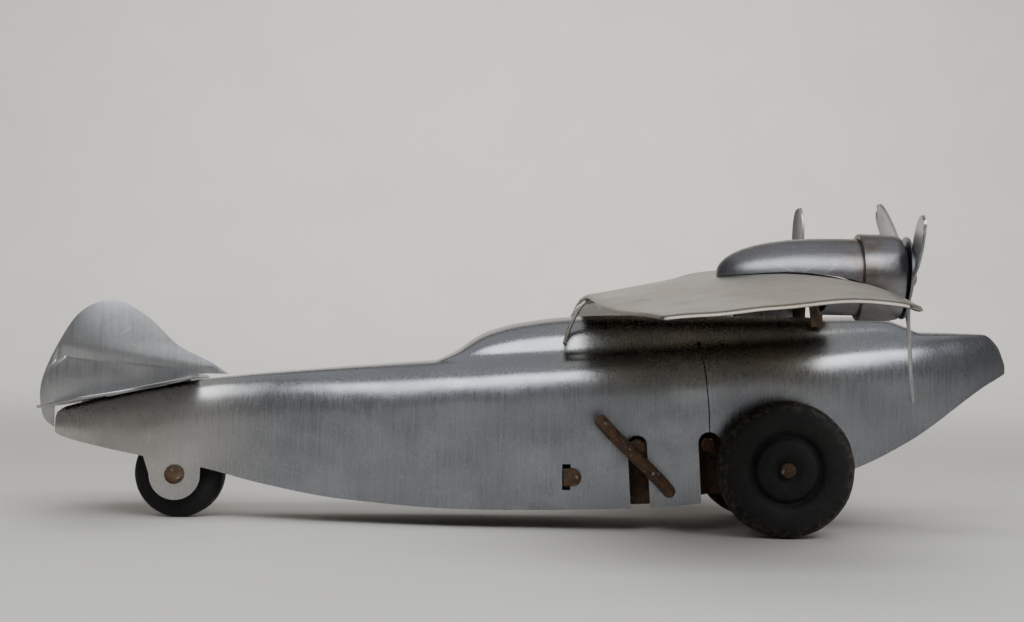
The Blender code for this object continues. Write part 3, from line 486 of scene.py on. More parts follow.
def rust(name, warmth=1.0, shine=0.35):
    """Rusted steel: brown crust, dark pits and a few rubbed bright spots."""
    paint = Paint(name, 0.35)
    crust = paint.span(paint.grain(2.6, detail=6.0, rough=0.7), 0.32, 0.68)
    colour = paint.mix(crust, (0.030 * warmth, 0.017, 0.012), (0.150 * warmth, 0.066, 0.034))
    bloom = paint.span(paint.grain(6.0, detail=4.0), 0.5, 0.75, 0.0, 0.8)
    colour = paint.mix(bloom, colour, (0.21 * warmth, 0.115, 0.07))
    rubbed = paint.span(paint.grain(1.7, detail=3.0), 0.62, 0.70, 0.0, shine)
    colour = paint.mix(rubbed, colour, (0.42, 0.37, 0.33))
    roughness = paint.sum(paint.span(crust, 0.0, 1.0, 0.55, 0.82), paint.times(rubbed, -0.7))
    height = paint.sum(paint.grain(0.8, detail=5.0, rough=0.7), paint.times(crust, 0.8))
    return paint.finish(colour, roughness, height, 0.22)


def worn_metal(name, dark, light, crust_colour, metallic=0.9):
    """Motor metal: cut marks, tarnish and a little rust."""
    paint = Paint(name, metallic)
    tarnish = paint.span(paint.grain(7.0, detail=5.0), 0.35, 0.7)
    colour = paint.mix(tarnish, light, dark)
    marks = paint.grain(0.4, (1.0, 0.1, 1.0), detail=2.0)
    colour = paint.mix(paint.span(marks, 0.4, 0.75, 0.0, 0.4), colour, dark)
    crust = paint.span(paint.grain(2.2, detail=6.0, rough=0.7), 0.56, 0.68, 0.0, 0.8)
    colour = paint.mix(crust, colour, crust_colour)
    roughness = paint.sum(paint.span(tarnish, 0.0, 1.0, 0.3, 0.48), paint.times(crust, 0.4))
    height = paint.sum(paint.times(marks, 0.4), crust)
    return paint.finish(colour, roughness, height, 0.08)


def rubber(name, base, dusty, grime, tread):
    """Aged moulded rubber: dusty faces, fine crazing, and brown grime on the tread."""
    paint = Paint(name, 0.0)
    paint.shader.inputs["Specular IOR Level"].default_value = 0.32
    dust = paint.span(paint.grain(9.0, detail=6.0, rough=0.6), 0.35, 0.72)
    colour = paint.mix(dust, base, dusty)
    fine = paint.grain(0.9, detail=5.0, rough=0.75)
    bloom = tuple(k * c for k, c in zip((7.0, 7.8, 6.6), dusty))
    colour = paint.mix(paint.span(fine, 0.57, 0.70, 0.0, 0.45), colour, bloom)
    if tread:
        centre_x, centre_z, inner, outer = tread
        dx = paint.sum(paint.axis("X"), -centre_x)
        dz = paint.sum(paint.axis("Z"), -centre_z)
        radius = paint.fold("POWER", (paint.sum(paint.times(dx, dx), paint.times(dz, dz)), 0.5))
        band = paint.span(radius, inner, outer)
        spots = paint.span(paint.grain(1.6, detail=6.0, rough=0.75), 0.47, 0.60)
        colour = paint.mix(paint.times(band, spots, 0.85), colour, grime)
    crazing = paint.cells(1.1)
    roughness = paint.span(fine, 0.3, 0.7, 0.52, 0.74)
    height = paint.sum(paint.times(fine, 0.7), paint.times(crazing, 0.25), paint.times(dust, 0.5))
    return paint.finish(colour, roughness, height, 0.16)


HULL_PAINT = aluminium("hull_aluminium", (1.0, 1.0, 0.03), (0.95, 0.985, 1.07), 0.70, 0.14, 0.25, hull_shade_and_aft_tint)
WING_PAINT = aluminium("wing_aluminium", (1.0, 0.04, 1.0), (1.03, 1.0, 0.94), 0.76, 0.5, 0.36, wing_grime_and_edge_shade)
TAIL_PAINT = aluminium("tail_aluminium", (1.0, 1.0, 0.04), (0.98, 0.99, 1.01), 0.9, 0.25, 0.28)
POD_PAINT = aluminium("pod_aluminium", (0.05, 1.0, 1.0), (0.97, 0.97, 1.05), 0.50, 0.3, 0.33, pod_grime)
BLADE_PAINT = aluminium("blade_aluminium", (1.0, 0.2, 0.2), (1.0, 1.0, 1.0), 1.0, 0.3, 0.28)
# dark rust-brown colour for the front straps
DARK_BROWN_PLATE_PAINT = rust("dark_brown_plate", 0.8, 0.25)
TAB_PAINT = rust("tab_steel", 0.8, 0.9)
STRAP_PAINT = aluminium("strap_aluminium", (1.0, 1.0, 0.1), (1.02, 0.95, 0.86), 0.8, 0.7, 0.3)
# near-black seal colour: painted shadow in the gap between the cowl's rim and the cap
SEAL_SHADOW_PAINT = rubber("shadowed_seal", (0.004, 0.004, 0.004), (0.010, 0.009, 0.008), (0.03, 0.02, 0.015), None)
RUST_PAINT = rust("rusted_plate", 0.85, 0.12)
KEY_PAINT = rust("rusted_key", 0.85, 0.8)
HEAD_PAINT = rust("rusted_heads", 0.8, 0.45)
ARBOR_PAINT = rust("arbor_end", 1.1, 0.85)
STEEL_PAINT = worn_metal("motor_steel", (0.10, 0.09, 0.085), (0.32, 0.31, 0.30), (0.11, 0.05, 0.03))
BRASS_PAINT = worn_metal("motor_brass", (0.16, 0.10, 0.04), (0.50, 0.36, 0.14), (0.09, 0.07, 0.04))
RUBBER_PAINT = rubber("wheel_rubber", (0.003, 0.0035, 0.0035), (0.008, 0.0085, 0.008),
                      (0.075, 0.056, 0.038), (*MAIN_AXLE, 17.0, 21.0))
TAIL_RUBBER_PAINT = rubber("tail_rubber", (0.0015, 0.0015, 0.002), (0.004, 0.004, 0.004),
                           (0.06, 0.045, 0.033), (*TAIL_AXLE, 13.6, 15.0))
CAD_PAINTS = {"aluminium_sheet": POD_PAINT, "rusty_steel": RUST_PAINT, "motor_steel": STEEL_PAINT,
              "gear_brass": BRASS_PAINT, "wheel_rubber": RUBBER_PAINT,
              "tail_rubber": TAIL_RUBBER_PAINT}
for node, obj in frame["nodes"].items():
    obj.data.materials.clear()
    obj.data.materials.append(CAD_PAINTS[SLOT_OF[node]])


# ---------------------------------------------------------------- hull
deck_height = smooth_curve(HULL_DECK)
bottom_height = smooth_curve(HULL_BOTTOM)
half_width = smooth_curve(HULL_HALF_WIDTH)
cabin_rise = smooth_curve(CABIN_RISE)


def hull_edge(x):
    """Height of the hull's lower edge, with the tail wheel's ears."""
    reach = EAR_RADIUS ** 2 - (x - TAIL_AXLE[0]) ** 2
    if reach < 0:
        return bottom_height(x)
    return min(bottom_height(x), TAIL_AXLE[1] - math.sqrt(reach))


def hull_section(x, side):
    """Half a section at x, from the lower edge to the middle of the deck, as (y, z)."""
    width = half_width(x)
    edge = hull_edge(x)
    deck = deck_height(x)
    rise = cabin_rise(x) + DECK_ARCH
    shoulder = min(SHOULDER_HEIGHT, 0.75 * (deck - bottom_height(x)))
    crease = CREASE_RATIO * width
    start = deck - shoulder
    points = [(width, edge + (start - edge) * i / 14) for i in range(14)]
    for i in range(13):
        angle = math.radians(90 * i / 12)
        points.append((crease + (width - crease) * math.cos(angle),
                       start + shoulder * math.sin(angle)))
    power = 2 / CABIN_ROUNDNESS
    for i in range(1, 15):
        angle = math.radians(90 * i / 14)
        cosine = max(math.cos(angle), 0.0)
        points.append((crease * cosine ** power, deck + rise * math.sin(angle) ** power))
    for _ in range(5):
        blended = points[:]
        for i in range(20, len(points) - 3):
            a, b, c = points[i - 1], points[i], points[i + 1]
            blended[i] = tuple((a[k] + 2 * b[k] + c[k]) / 4 for k in range(2))
        points = blended
    result = []
    for y, z in points:
        fade = min(1.0, y / 6.0)
        soft = ripple(x, side * y, z, 19.0, 0.28) + ripple(x, side * 40.0, z, 8.0, 0.10)
        dent = 0.5 * bump(math.hypot(x - 8.6, z - 9.4), 0.0, 7.5) if side < 0 else 0.0
        result.append((y + (soft - 0.15 - dent) * fade, z + 0.4 * soft * (1 - fade)))
    return result


def hull_stations():
    """Stations along the hull, closer where the ears, the cabin and the nose curve."""
    stations = between(TAIL_X, -150.0, 6) + between(-149.0, -123.0, 13)
    ear = EAR_RADIUS
    stations += [TAIL_AXLE[0] - ear * math.cos(math.radians(a)) for a in range(0, 181, 9)]
    stations += between(-103.5, -32.0, 36) + between(-30.0, 16.0, 38) + between(18.0, 112.0, 50)
    stations += between(113.0, 150.0, 30) + between(151.0, 158.0, 12) + [158.8, 159.4, 159.8, NOSE_X]
    return sorted(set(round(x, 3) for x in stations))


def slit_outline():
    """A fine tear that runs from the notch under the wing down to the front slot."""
    path = spline_points([(57.0, 60.5), (57.2, 58.0), (57.9, 55.0), (58.75, 48.6), (59.6, 41.2),
                          (60.0, 35.0), (60.1, 31.0)], 6)
    outline = [(x - 0.17, z) for x, z in path]
    return outline + [(x + 0.17, z) for x, z in reversed(path)]


def hull():
    """The stamped hull, with its slots, lanced hole, axle holes and fine tear."""
    stations = hull_stations()
    vertices = []
    for x in stations:
        port = hull_section(x, 1.0)
        starboard = hull_section(x, -1.0)
        vertices += [(x, y, z) for y, z in port]
        vertices += [(x, -y, z) for y, z in reversed(starboard[:-1])]
    row = len(vertices) // len(stations)
    faces = [tuple(reversed(range(row)))] + grid_faces(len(stations), row)
    faces.append(tuple(range(len(vertices) - row, len(vertices))))
    obj = new_object("hull", vertices, faces, closed=False)
    thicken(obj, SHEET, -1.0)
    through = (-30.0, 30.0)
    for x, top, half in (SLOT_1, SLOT_2):
        foot = x + SLOT_LEAN * top
        outline = arc_points((x, top), half, 0, 180, 28) + [(foot - half, 0.0), (foot + half, 0.0)]
        boolean(obj, prism("cutter", outline, through))
    x0, x1, z0, z1 = TAB_HOLE
    boolean(obj, prism("cutter", [(x0, z0), (x1, z0), (x1, z1), (x0, z1)], through))
    for (x, z), radius in ((MAIN_AXLE, 2.4), (TAIL_AXLE, 1.8)):
        boolean(obj, prism("cutter", arc_points((x, z), radius, 0, 360, 40)[:-1], through))
    boolean(obj, prism("cutter", slit_outline(), (-30.0, -16.0)))
    notch = [(56.6, 58.8), (57.5, 58.6), (57.9, 60.6), (56.3, 61.0)]
    boolean(obj, prism("cutter", notch, (-30.0, -15.0)))
    for x0, x1 in FIN_TABS:
        outline = [(x0 - GAP, 30.0), (x1 + GAP, 30.0), (x1 + GAP, 60.0), (x0 - GAP, 60.0)]
        boolean(obj, prism("cutter", outline, (-SHEET / 2 - GAP, SHEET / 2 + GAP)))
    finish_piece(obj, "airframe", "hull_shell", HULL_PAINT, 42.0)


# ---------------------------------------------------------------- tail
def tail_height(x):
    """Middle of the tailplane's sheet, which lies on the sloping tail deck."""
    rear, front = TAIL_DECK
    low = deck_height(rear)
    slope = (deck_height(front) - low) / (front - rear)
    return low + (x - rear) * slope + DECK_ARCH + 2 * GAP + SHEET / 2


def fin():
    """The upright fin, whose tabs pass through the tailplane and the deck."""
    outline = spline_points(FIN_OUTLINE, 12)
    above = SHEET / 2 + 0.12
    rear_foot = FIN_OUTLINE[-1][0] + 0.1
    outline.append((rear_foot, tail_height(rear_foot) + above))
    for x0, x1 in FIN_TABS:
        outline += [(x0, tail_height(x0) + above), (x0, tail_height(x0) - 3.6)]
        outline += [(x1, tail_height(x1) - 3.6), (x1, tail_height(x1) + above)]
    front = TAIL_CENTRE_X + TAIL_HALF_CHORD + 1.0
    outline += [(front, tail_height(front) + above)]
    obj = prism("tail_fin", outline, (-SHEET / 2, SHEET / 2))
    for x, z in ((-155.2, 51.0), (-152.0, 52.3)):
        boolean(obj, prism("cutter", arc_points((x, z), 0.38, 0, 360, 14)[:-1], (-1.0, 1.0)))
    soften(obj, 0.2)
    finish_piece(obj, "airframe", "fin", TAIL_PAINT)


def tailplane():
    """A flat sheet with a rounded plan, a little wavy, drooping towards its tips, most at the front."""
    rings = 14
    count = 140
    power = 2 / 2.6
    vertices = [(TAIL_CENTRE_X, 0.0, tail_height(TAIL_CENTRE_X))]
    for ring in range(1, rings + 1):
        share = ring / rings
        for k in range(count):
            angle = 2 * math.pi * k / count
            cosine, sine = math.cos(angle), math.sin(angle)
            x = TAIL_CENTRE_X + share * TAIL_HALF_CHORD * math.copysign(abs(cosine) ** power, cosine)
            y = share * TAIL_HALF_SPAN * math.copysign(abs(sine) ** power, sine)
            far = max(0.0, abs(y) - 9.0) / 41.0
            wave = far * (ripple(x, y, 0.0, 24.0, 0.6) - 0.9 - 0.6 * (x - TAIL_CENTRE_X) / TAIL_HALF_CHORD)
            vertices.append((x, y, tail_height(x) + wave))
    faces = [(0, 1 + k, 1 + (k + 1) % count) for k in range(count)]
    for ring in range(rings - 1):
        base = 1 + ring * count
        for k in range(count):
            m = (k + 1) % count
            faces.append((base + k, base + count + k, base + count + m, base + m))
    obj = new_object("tail_plane", vertices, faces, closed=False)
    thicken(obj, SHEET, 0.0)
    half = SHEET / 2 + GAP
    slots = [(x0 - GAP, x1 + GAP) for x0, x1 in FIN_TABS] + [(-165.0, FIN_OUTLINE[-1][0] + 0.5)]
    for x0, x1 in slots:
        outline = [(x0, 25.0), (x1, 25.0), (x1, 60.0), (x0, 60.0)]
        boolean(obj, prism("cutter", outline, (-half, half)))
    soften(obj, 0.18)
    finish_piece(obj, "airframe", "tailplane", TAIL_PAINT)


# ---------------------------------------------------------------- wing
wing_camber = smooth_curve(WING_CAMBER)


def wing_chord(y):
    """Trailing and leading edge at span position y."""
    span = abs(y) / WING_HALF_SPAN
    rear = max(0.0, (abs(y) - TIP_REAR_START) / (WING_HALF_SPAN - TIP_REAR_START))
    front = max(0.0, (abs(y) - TIP_FRONT_START) / (WING_HALF_SPAN - TIP_FRONT_START))
    trailing = WING_TRAILING_X + TIP_REAR_CUT * rear ** 1.6
    leading = WING_LEADING_X - WING_LEADING_BOW * span ** 2 - TIP_FRONT_CUT * front ** 2.2
    return trailing, leading


def wing_height(x, y):
    """Height of the wing's sheet: cambered, drooping to its tips and flatter there."""
    trailing, leading = wing_chord(min(abs(y), TIP_REAR_START))
    share = (x - trailing) / (leading - trailing)
    out = abs(y) / WING_HALF_SPAN
    inside = min(1.0, max(0.0, share))
    flatter = WING_TIP_FLATTENING * out ** 3 * math.sin(math.pi * inside) ** 4
    return wing_camber(share) - WING_DROOP * out ** 2 - flatter


def wing():
    """One cambered sheet from tip to tip, its edge turned down all the way round."""
    span_steps = 136
    chord_steps = 46
    stations = [WING_HALF_SPAN * math.sin(math.pi / 2 * t) * 0.35 + WING_HALF_SPAN * t * 0.65
                for t in between(-1.0, 1.0, span_steps)]
    lip = len(WING_LIP)
    vertices = []
    for j in range(-lip, span_steps + 1 + lip):
        y = stations[min(max(j, 0), span_steps)]
        out_y = max(-j, j - span_steps, 0)
        side_y = -1.0 if j < 0 else 1.0
        trailing, leading = wing_chord(y)
        for i in range(-lip, chord_steps + 1 + lip):
            share = 1 - (1 - min(max(i, 0), chord_steps) / chord_steps) ** 1.5
            x = trailing + (leading - trailing) * share
            z = wing_height(x, y)
            tip = max(0.0, abs(y) - 60.0) / 110.0
            z += ripple(x, y, 0.0, 34.0, 0.7) * tip + ripple(x, y, 9.0, 13.0, 0.18)
            z += 0.6 * bump(y, -170.0, 22.0) * bump(x, 31.0, 14.0)
            out_x = max(-i, i - chord_steps, 0)
            side_x = -1.0 if i < 0 else 1.0
            shift_x = side_x * WING_LIP[out_x - 1][0] * (0.7 if out_y else 1.0) if out_x else 0.0
            shift_y = side_y * WING_LIP[out_y - 1][0] * (0.7 if out_x else 1.0) if out_y else 0.0
            deepest = max(out_x, out_y)
            z += WING_LIP[deepest - 1][1] if deepest else 0.0
            vertices.append((x + shift_x, y * 0.996 + shift_y, z))
    faces = grid_faces(span_steps + 1 + 2 * lip, chord_steps + 1 + 2 * lip)
    obj = new_object("wing_sheet", vertices, faces, closed=False)
    thicken(obj, WING_SHEET, 0.0)
    finish_piece(obj, "airframe", "wing", WING_PAINT, 50.0)


def bracket(name, node, path, side):
    """A strap that hangs from the wing's sheet beside the cabin, slightly crowned across."""
    across = between(*BRACKET_Y, 6)
    smooth = spline_points(path, 6)
    count = len(smooth)
    vertices = []
    for k, y in enumerate(across):
        crown = 0.35 * (1 - (2 * k / 6 - 1) ** 2)
        vertices += [(x + crown, side * y, z) for x, z in smooth]
    obj = new_object(name, vertices, grid_faces(len(across), count), closed=False)
    thicken(obj, SHEET, 0.0)
    soften(obj, 0.18)
    finish_piece(obj, "airframe", node, STRAP_PAINT)


def brackets():
    """Straps beside the cabin: one bent at the rear, one flat and tapered in front."""
    inner, outer = BRACKET_Y
    under = SHEET + GAP + 0.25
    rear = [(x, wing_height(x, outer) - under) for x in (30.0, 25.0, 21.5)]
    rear += [(18.6, 71.6), (15.6, 66.0), (13.4, 59.7)]
    plate = [(x, wing_height(x, outer) - under) for x in FRONT_BRACKET_TOP] + FRONT_BRACKET_FOOT
    for side_name, side in SIDES:
        bracket(f"strap_rear_{side_name}", f"wing_bracket_rear_{side_name}", rear, side)
        y_range = (side * inner, side * (inner + SHEET))
        obj = prism(f"strap_front_{side_name}", plate, y_range)
        soften(obj, 0.2)
        finish_piece(obj, "airframe", f"wing_bracket_front_{side_name}", DARK_BROWN_PLATE_PAINT)


# ---------------------------------------------------------------- engines
def pod_radius(x, radius, rear):
    """Radius of a bullet shape that closes at its rear end."""
    if x >= POD_ROUND_END:
        return radius
    share = (POD_ROUND_END - x) / (POD_ROUND_END - rear)
    return radius * max(0.0, 1 - share ** 2.3) ** (1 / 2.3)


def wing_slab(side, x_range, reach, gap, offset):
    """A cutter that follows the wing's sheet below an engine."""
    y = side * ENGINE_Y
    rows = between(y - reach, y + reach, 12)
    xs = between(*x_range, 30)
    vertices = [(x, row, wing_height(x, row)) for row in rows for x in xs]
    obj = new_object("cutter", vertices, grid_faces(len(rows), len(xs)), closed=False)
    thicken(obj, gap, offset)
    return obj


def pod(side_name, side):
    """The engine: a hollow bullet, its cowl ring, a dark seal whose near-black colour is painted shadow in
    the gap behind the cap, and the nose cap.
    """
    shares = [0.0, 0.004, 0.015, 0.04, 0.08, 0.14, 0.22, 0.32, 0.45, 0.6, 0.8, 1.0]
    outer = [POD_REAR + (POD_ROUND_END - POD_REAR) * s for s in shares]
    inner_rear = POD_REAR + SHEET * 1.4
    inner = [inner_rear + (POD_ROUND_END - inner_rear) * s for s in reversed(shares)]
    profile = [(x, pod_radius(x, POD_RADIUS, POD_REAR)) for x in outer]
    profile += [(90.0, POD_RADIUS), (POD_FRONT, POD_RADIUS), (POD_FRONT, POD_RADIUS - SHEET)]
    profile += [(x, pod_radius(x, POD_RADIUS - SHEET, inner_rear)) for x in inner]
    centre = (0.0, side * ENGINE_Y, ENGINE_Z)
    obj = turned(f"engine_{side_name}", profile, "X", 72, centre)
    leading = wing_chord(ENGINE_Y - 13.0)[1] + 0.9
    boolean(obj, wing_slab(side, (POD_REAR - 4.0, leading), 14.0, 1.3, 0.0))
    boolean(obj, wing_slab(side, (POD_REAR - 4.0, POD_LOWER_START), 13.0, 42.0, -1.0))
    finish_piece(obj, "airframe", f"engine_pod_{side_name}", POD_PAINT)
    inner = POD_RADIUS + 0.15
    rim = [(COWL_REAR, inner), (COWL_REAR, COWL_RADIUS - 0.3), (COWL_REAR + 0.3, COWL_RADIUS)]
    rim += [(95.0, COWL_RADIUS), (98.0, COWL_RADIUS), (101.5, COWL_RADIUS - 0.1)]
    rim += [(COWL_FRONT - 0.5, COWL_RADIUS - 0.5), (COWL_FRONT, COWL_RADIUS - 0.9), (COWL_FRONT, inner)]
    ring = turned(f"cowl_{side_name}", rim, "X", 72, centre, ring=True)
    boolean(ring, wing_slab(side, (POD_REAR - 4.0, leading), 14.0, 1.3, 0.0))
    finish_piece(ring, "airframe", f"cowl_ring_{side_name}", POD_PAINT)
    # the seal's near-black colour is painted shadow in the gap between the cowl's rim and the cap
    plug = [(100.7, 1.3), (100.7, 9.2), (101.2, 9.5), (104.9, 9.5), (105.0, 9.2), (105.0, 1.3)]
    obj = turned(f"cap_seal_{side_name}", plug, "X", 48, centre, ring=True)
    finish_piece(obj, "airframe", f"bulkhead_{side_name}", SEAL_SHADOW_PAINT)
    cap = [(104.7, 1.4), (104.7, CAP_RADIUS - 0.3), (104.9, CAP_RADIUS), (105.4, CAP_RADIUS)]
    cap += [(105.6, CAP_RADIUS - 0.3), (105.9, 8.0), (105.9, 3.0), (105.7, 1.4)]
    obj = turned(f"cap_{side_name}", cap, "X", 72, centre, ring=True)
    for vertex in obj.data.vertices:
        vertex.co.x += 0.055 * max(0.0, vertex.co.z - (ENGINE_Z - 6.0) * MM)
    finish_piece(obj, "airframe", f"bulkhead_{side_name}", POD_PAINT)


def blade_half_width(radius):
    """Half the width of a propeller blade, which swells and then rounds off."""
    share = max(0.0, (radius - 20.0) / (PROP_RADIUS + 0.1 - 20.0))
    swell = 3.2 + 1.7 * min(1.0, (radius - PROP_HUB_RADIUS) / 12.0)
    return swell * (1 - share ** 2.6) ** (1 / 2.6)


def propeller(side_name, side):
    """Three twisted blades and a domed hub, stamped from one sheet."""
    steps = between(0.0, 1.0, 30)
    radii = [PROP_HUB_RADIUS + (PROP_RADIUS - PROP_HUB_RADIUS) * (1 - (1 - s) ** 1.4) for s in steps]
    across = between(-1.0, 1.0, 10)
    width = len(across)
    root = math.asin(blade_half_width(PROP_HUB_RADIUS) / PROP_HUB_RADIUS)
    blades = [FIRST_BLADE[side_name] + math.radians(120 * k) for k in range(3)]
    angles = []
    for blade in blades:
        angles += [blade + s * root for s in across]
        gap = math.radians(120) - 2 * root
        angles += [blade + root + gap * t for t in (0.25, 0.5, 0.75)]
    count = len(angles)
    vertices = []
    for radius in (1.3, 2.2, 3.2, 4.2, PROP_HUB_RADIUS):
        dome = 0.55 * max(0.0, 1 - (radius / 4.6) ** 2)
        vertices += [(dome, radius * math.cos(a), radius * math.sin(a)) for a in angles]
    faces = []
    for ring in range(4):
        for i in range(count):
            a, b = ring * count + i, ring * count + (i + 1) % count
            faces.append((a, b, b + count, a + count))
    for number, blade in enumerate(blades):
        last = [4 * count + number * (width + 3) + k for k in range(width)]
        for radius in radii[1:]:
            share = (radius - PROP_HUB_RADIUS) / (PROP_RADIUS - PROP_HUB_RADIUS)
            pitch = math.radians(PROP_PITCHES[side_name][number]) * min(1.0, share * 4.2)
            back = PROP_BENDS[side_name][number] * share ** PROP_BEND_POWER
            half = blade_half_width(radius)
            row = []
            for s in across:
                sideways = s * half * math.cos(pitch)
                y = radius * math.cos(blade) - sideways * math.sin(blade)
                z = radius * math.sin(blade) + sideways * math.cos(blade)
                crown = 0.35 * (1 - s * s) * min(1.0, share * 5)
                along = s * half * math.sin(pitch) + crown - back
                row.append(len(vertices))
                vertices.append((along, y, z))
            for k in range(width - 1):
                faces.append((last[k], last[k + 1], row[k + 1], row[k]))
            last = row
    origin = (PROP_X, side * ENGINE_Y, ENGINE_Z)
    vertices = [tuple(p + o for p, o in zip(v, origin)) for v in vertices]
    obj = new_object(f"airscrew_{side_name}", vertices, faces, closed=False)
    thicken(obj, PROP_SHEET, 0.0)
    soften(obj, 0.16)
    body = f"propeller_{side_name}"
    finish_piece(obj, body, body, BLADE_PAINT)


# ---------------------------------------------------------------- running gear
def main_wheel(side_name, side):
    """A moulded rubber wheel: round tread, ring groove and raised hub disc."""
    r = MAIN_WHEEL_RADIUS
    a, b = MAIN_WHEEL_Y
    half = (b - a) / 2
    tread = []
    for k in range(25):
        angle = math.radians(180 * k / 24)
        tread.append((a + half - half * math.copysign(abs(math.cos(angle)) ** 0.62, math.cos(angle)),
                      17.0 + (r - 17.0) * math.sin(angle) ** 0.75))
    face = [(b - 0.15, 15.0), (b - 0.5, 12.6), (b - 0.9, 11.9), (b - 1.9, 11.2), (b - 2.2, 10.6),
            (b - 1.9, 10.0), (b - 1.0, 9.5), (b - 0.75, 9.0), (b - 0.6, 7.0), (b - 0.7, 4.2),
            (b - 1.1, 3.6), (b - 1.1, 2.1)]
    back = [(a, 2.1), (a, 9.0), (a + 0.5, 10.0), (a, 11.5)]
    profile = [(side * y, radius) for y, radius in back + tread + face]
    centre = (MAIN_AXLE[0], 0.0, MAIN_AXLE[1])
    obj = turned(f"road_wheel_{side_name}", profile, "Y", 120, centre, ring=True, angle=50.0)
    for vertex in obj.data.vertices:
        x, y, z = (c / MM for c in vertex.co)
        dx, dz = x - centre[0], z - centre[2]
        radius = math.hypot(dx, dz)
        if radius > 5.0:
            wear = ripple(x, y, z, 5.5, 0.16) + ripple(x, y, z, 1.7, 0.09)
            grow = (radius + min(0.0, wear - 0.10)) / radius
            vertex.co = Vector((centre[0] + dx * grow, y, centre[2] + dz * grow)) * MM
    finish_piece(obj, "main_axle", f"main_wheel_{side_name}", RUBBER_PAINT, 50.0)


def rod_profile(head_inner, head_outer, radius, head_radius):
    dome = [(head_outer - 0.55, head_radius), (head_outer - 0.3, head_radius * 0.93),
            (head_outer - 0.1, head_radius * 0.72), (head_outer, head_radius * 0.4), (head_outer, 0.0)]
    half = [(head_inner, radius), (head_inner, head_radius - 0.15), (head_inner + 0.15, head_radius)] + dome
    return [(-y, r) for y, r in reversed(half)] + half


def rods():
    """The two axles, with domed heads outside the wheels and the ears."""
    profile = rod_profile(40.5, 42.0, MAIN_AXLE_RADIUS, MAIN_HEAD_RADIUS)
    obj = turned("axle_rod", profile, "Y", 40, (MAIN_AXLE[0], 0.0, MAIN_AXLE[1]))
    finish_piece(obj, "main_axle", "main_axle", HEAD_PAINT)
    face = half_width(TAIL_AXLE[0]) + GAP
    profile = rod_profile(face, face + 1.2, TAIL_AXLE_RADIUS, TAIL_HEAD_RADIUS)
    obj = turned("tail_rod", profile, "Y", 40, (TAIL_AXLE[0], 0.0, TAIL_AXLE[1]))
    finish_piece(obj, "airframe", "tail_axle", HEAD_PAINT)


def tail_wheel():
    """A plain rubber roller with rounded shoulders."""
    r = TAIL_WHEEL_RADIUS
    h = TAIL_WHEEL_HALF_WIDTH
    half = [(h - 0.3, 1.8), (h - 0.3, 5.0), (h, 6.0), (h, 10.6)]
    half += [(h - 3.4 + 3.4 * math.cos(t), r - 4.0 + 4.0 * math.sin(t))
             for t in [math.radians(90 * k / 9) for k in range(1, 10)]]
    profile = half + [(-y, radius) for y, radius in reversed(half)]
    centre = (TAIL_AXLE[0], 0.0, TAIL_AXLE[1])
    obj = turned("tail_roller", profile, "Y", 96, centre, ring=True, angle=50.0)
    finish_piece(obj, "tail_wheel", "tail_wheel", TAIL_RUBBER_PAINT, 50.0)


# ---------------------------------------------------------------- clockwork seen from outside
def roughen(obj, size, depth, keep_below=0.0):
    """Pushes vertices about a little, as rust does."""
    for vertex in obj.data.vertices:
        x, y, z = (c / MM for c in vertex.co)
        if abs(y) > keep_below:
            shift = [ripple(x, y, z + 50.0 * k, size, depth) for k in range(3)]
            vertex.co += Vector(shift) * MM


def winding_parts():
    """The arbor with its domed end, and the round-ended bar that lies across it."""
    x, z = WINDING_ARBOR
    profile = [(-34.9, 0.0), (-34.9, 1.5), (-34.6, 2.3), (-34.0, 2.7), (-33.0, 2.7), (-32.6, 2.0),
               (19.3, 2.0), (19.3, 0.0)]
    obj = turned("arbor_rod", profile, "Y", 40, (x, 0.0, z))
    roughen(obj, 1.6, 0.10, 30.0)
    finish_piece(obj, "winding_arbor", "winding_arbor", HEAD_PAINT)
    half = KEY_LENGTH / 2
    radius = KEY_RADIUS
    ends = [(half - radius + radius * math.sin(t), radius * math.cos(t) ** 0.8)
            for t in [math.radians(10 * k) for k in range(9)]] + [(half, 0.0)]
    middle = [(s, radius) for s in between(-12.0, 12.0, 24)]
    profile = [(-along, r) for along, r in reversed(ends)] + middle + ends
    obj = turned("key_bar", profile, "X", 40, (0.0, 0.0, 0.0))
    cosine, sine = math.cos(KEY_ANGLE), math.sin(KEY_ANGLE)
    for vertex in obj.data.vertices:
        px, py, pz = (c / MM for c in vertex.co)
        pz += 0.2 * math.sin(px / 5.3) + ripple(px, py, pz, 2.4, 0.14) - KEY_OFFSET
        py += ripple(px + 40.0, py, pz, 2.4, 0.14)
        px += KEY_SLIDE
        place = (x + px * cosine - pz * sine, KEY_NEAR_Y - radius + py, z + px * sine + pz * cosine)
        vertex.co = Vector(place) * MM
    finish_piece(obj, "winding_arbor", "winding_key", KEY_PAINT)


def second_arbor():
    """The second arbor, whose riveted end shows in the front slot as rings."""
    profile = [(-25.9, 0.0), (-25.9, 0.7), (-25.5, 0.9), (-25.5, 1.25), (-25.9, 1.45), (-25.9, 1.95),
               (-25.6, 2.2), (-23.4, 2.2), (-23.4, 1.5), (19.3, 1.5), (19.3, 0.0)]
    obj = turned("second_rod", profile, "Y", 40, (SECOND_ARBOR[0], 0.0, SECOND_ARBOR[1]))
    finish_piece(obj, "second_arbor", "second_arbor", ARBOR_PAINT)


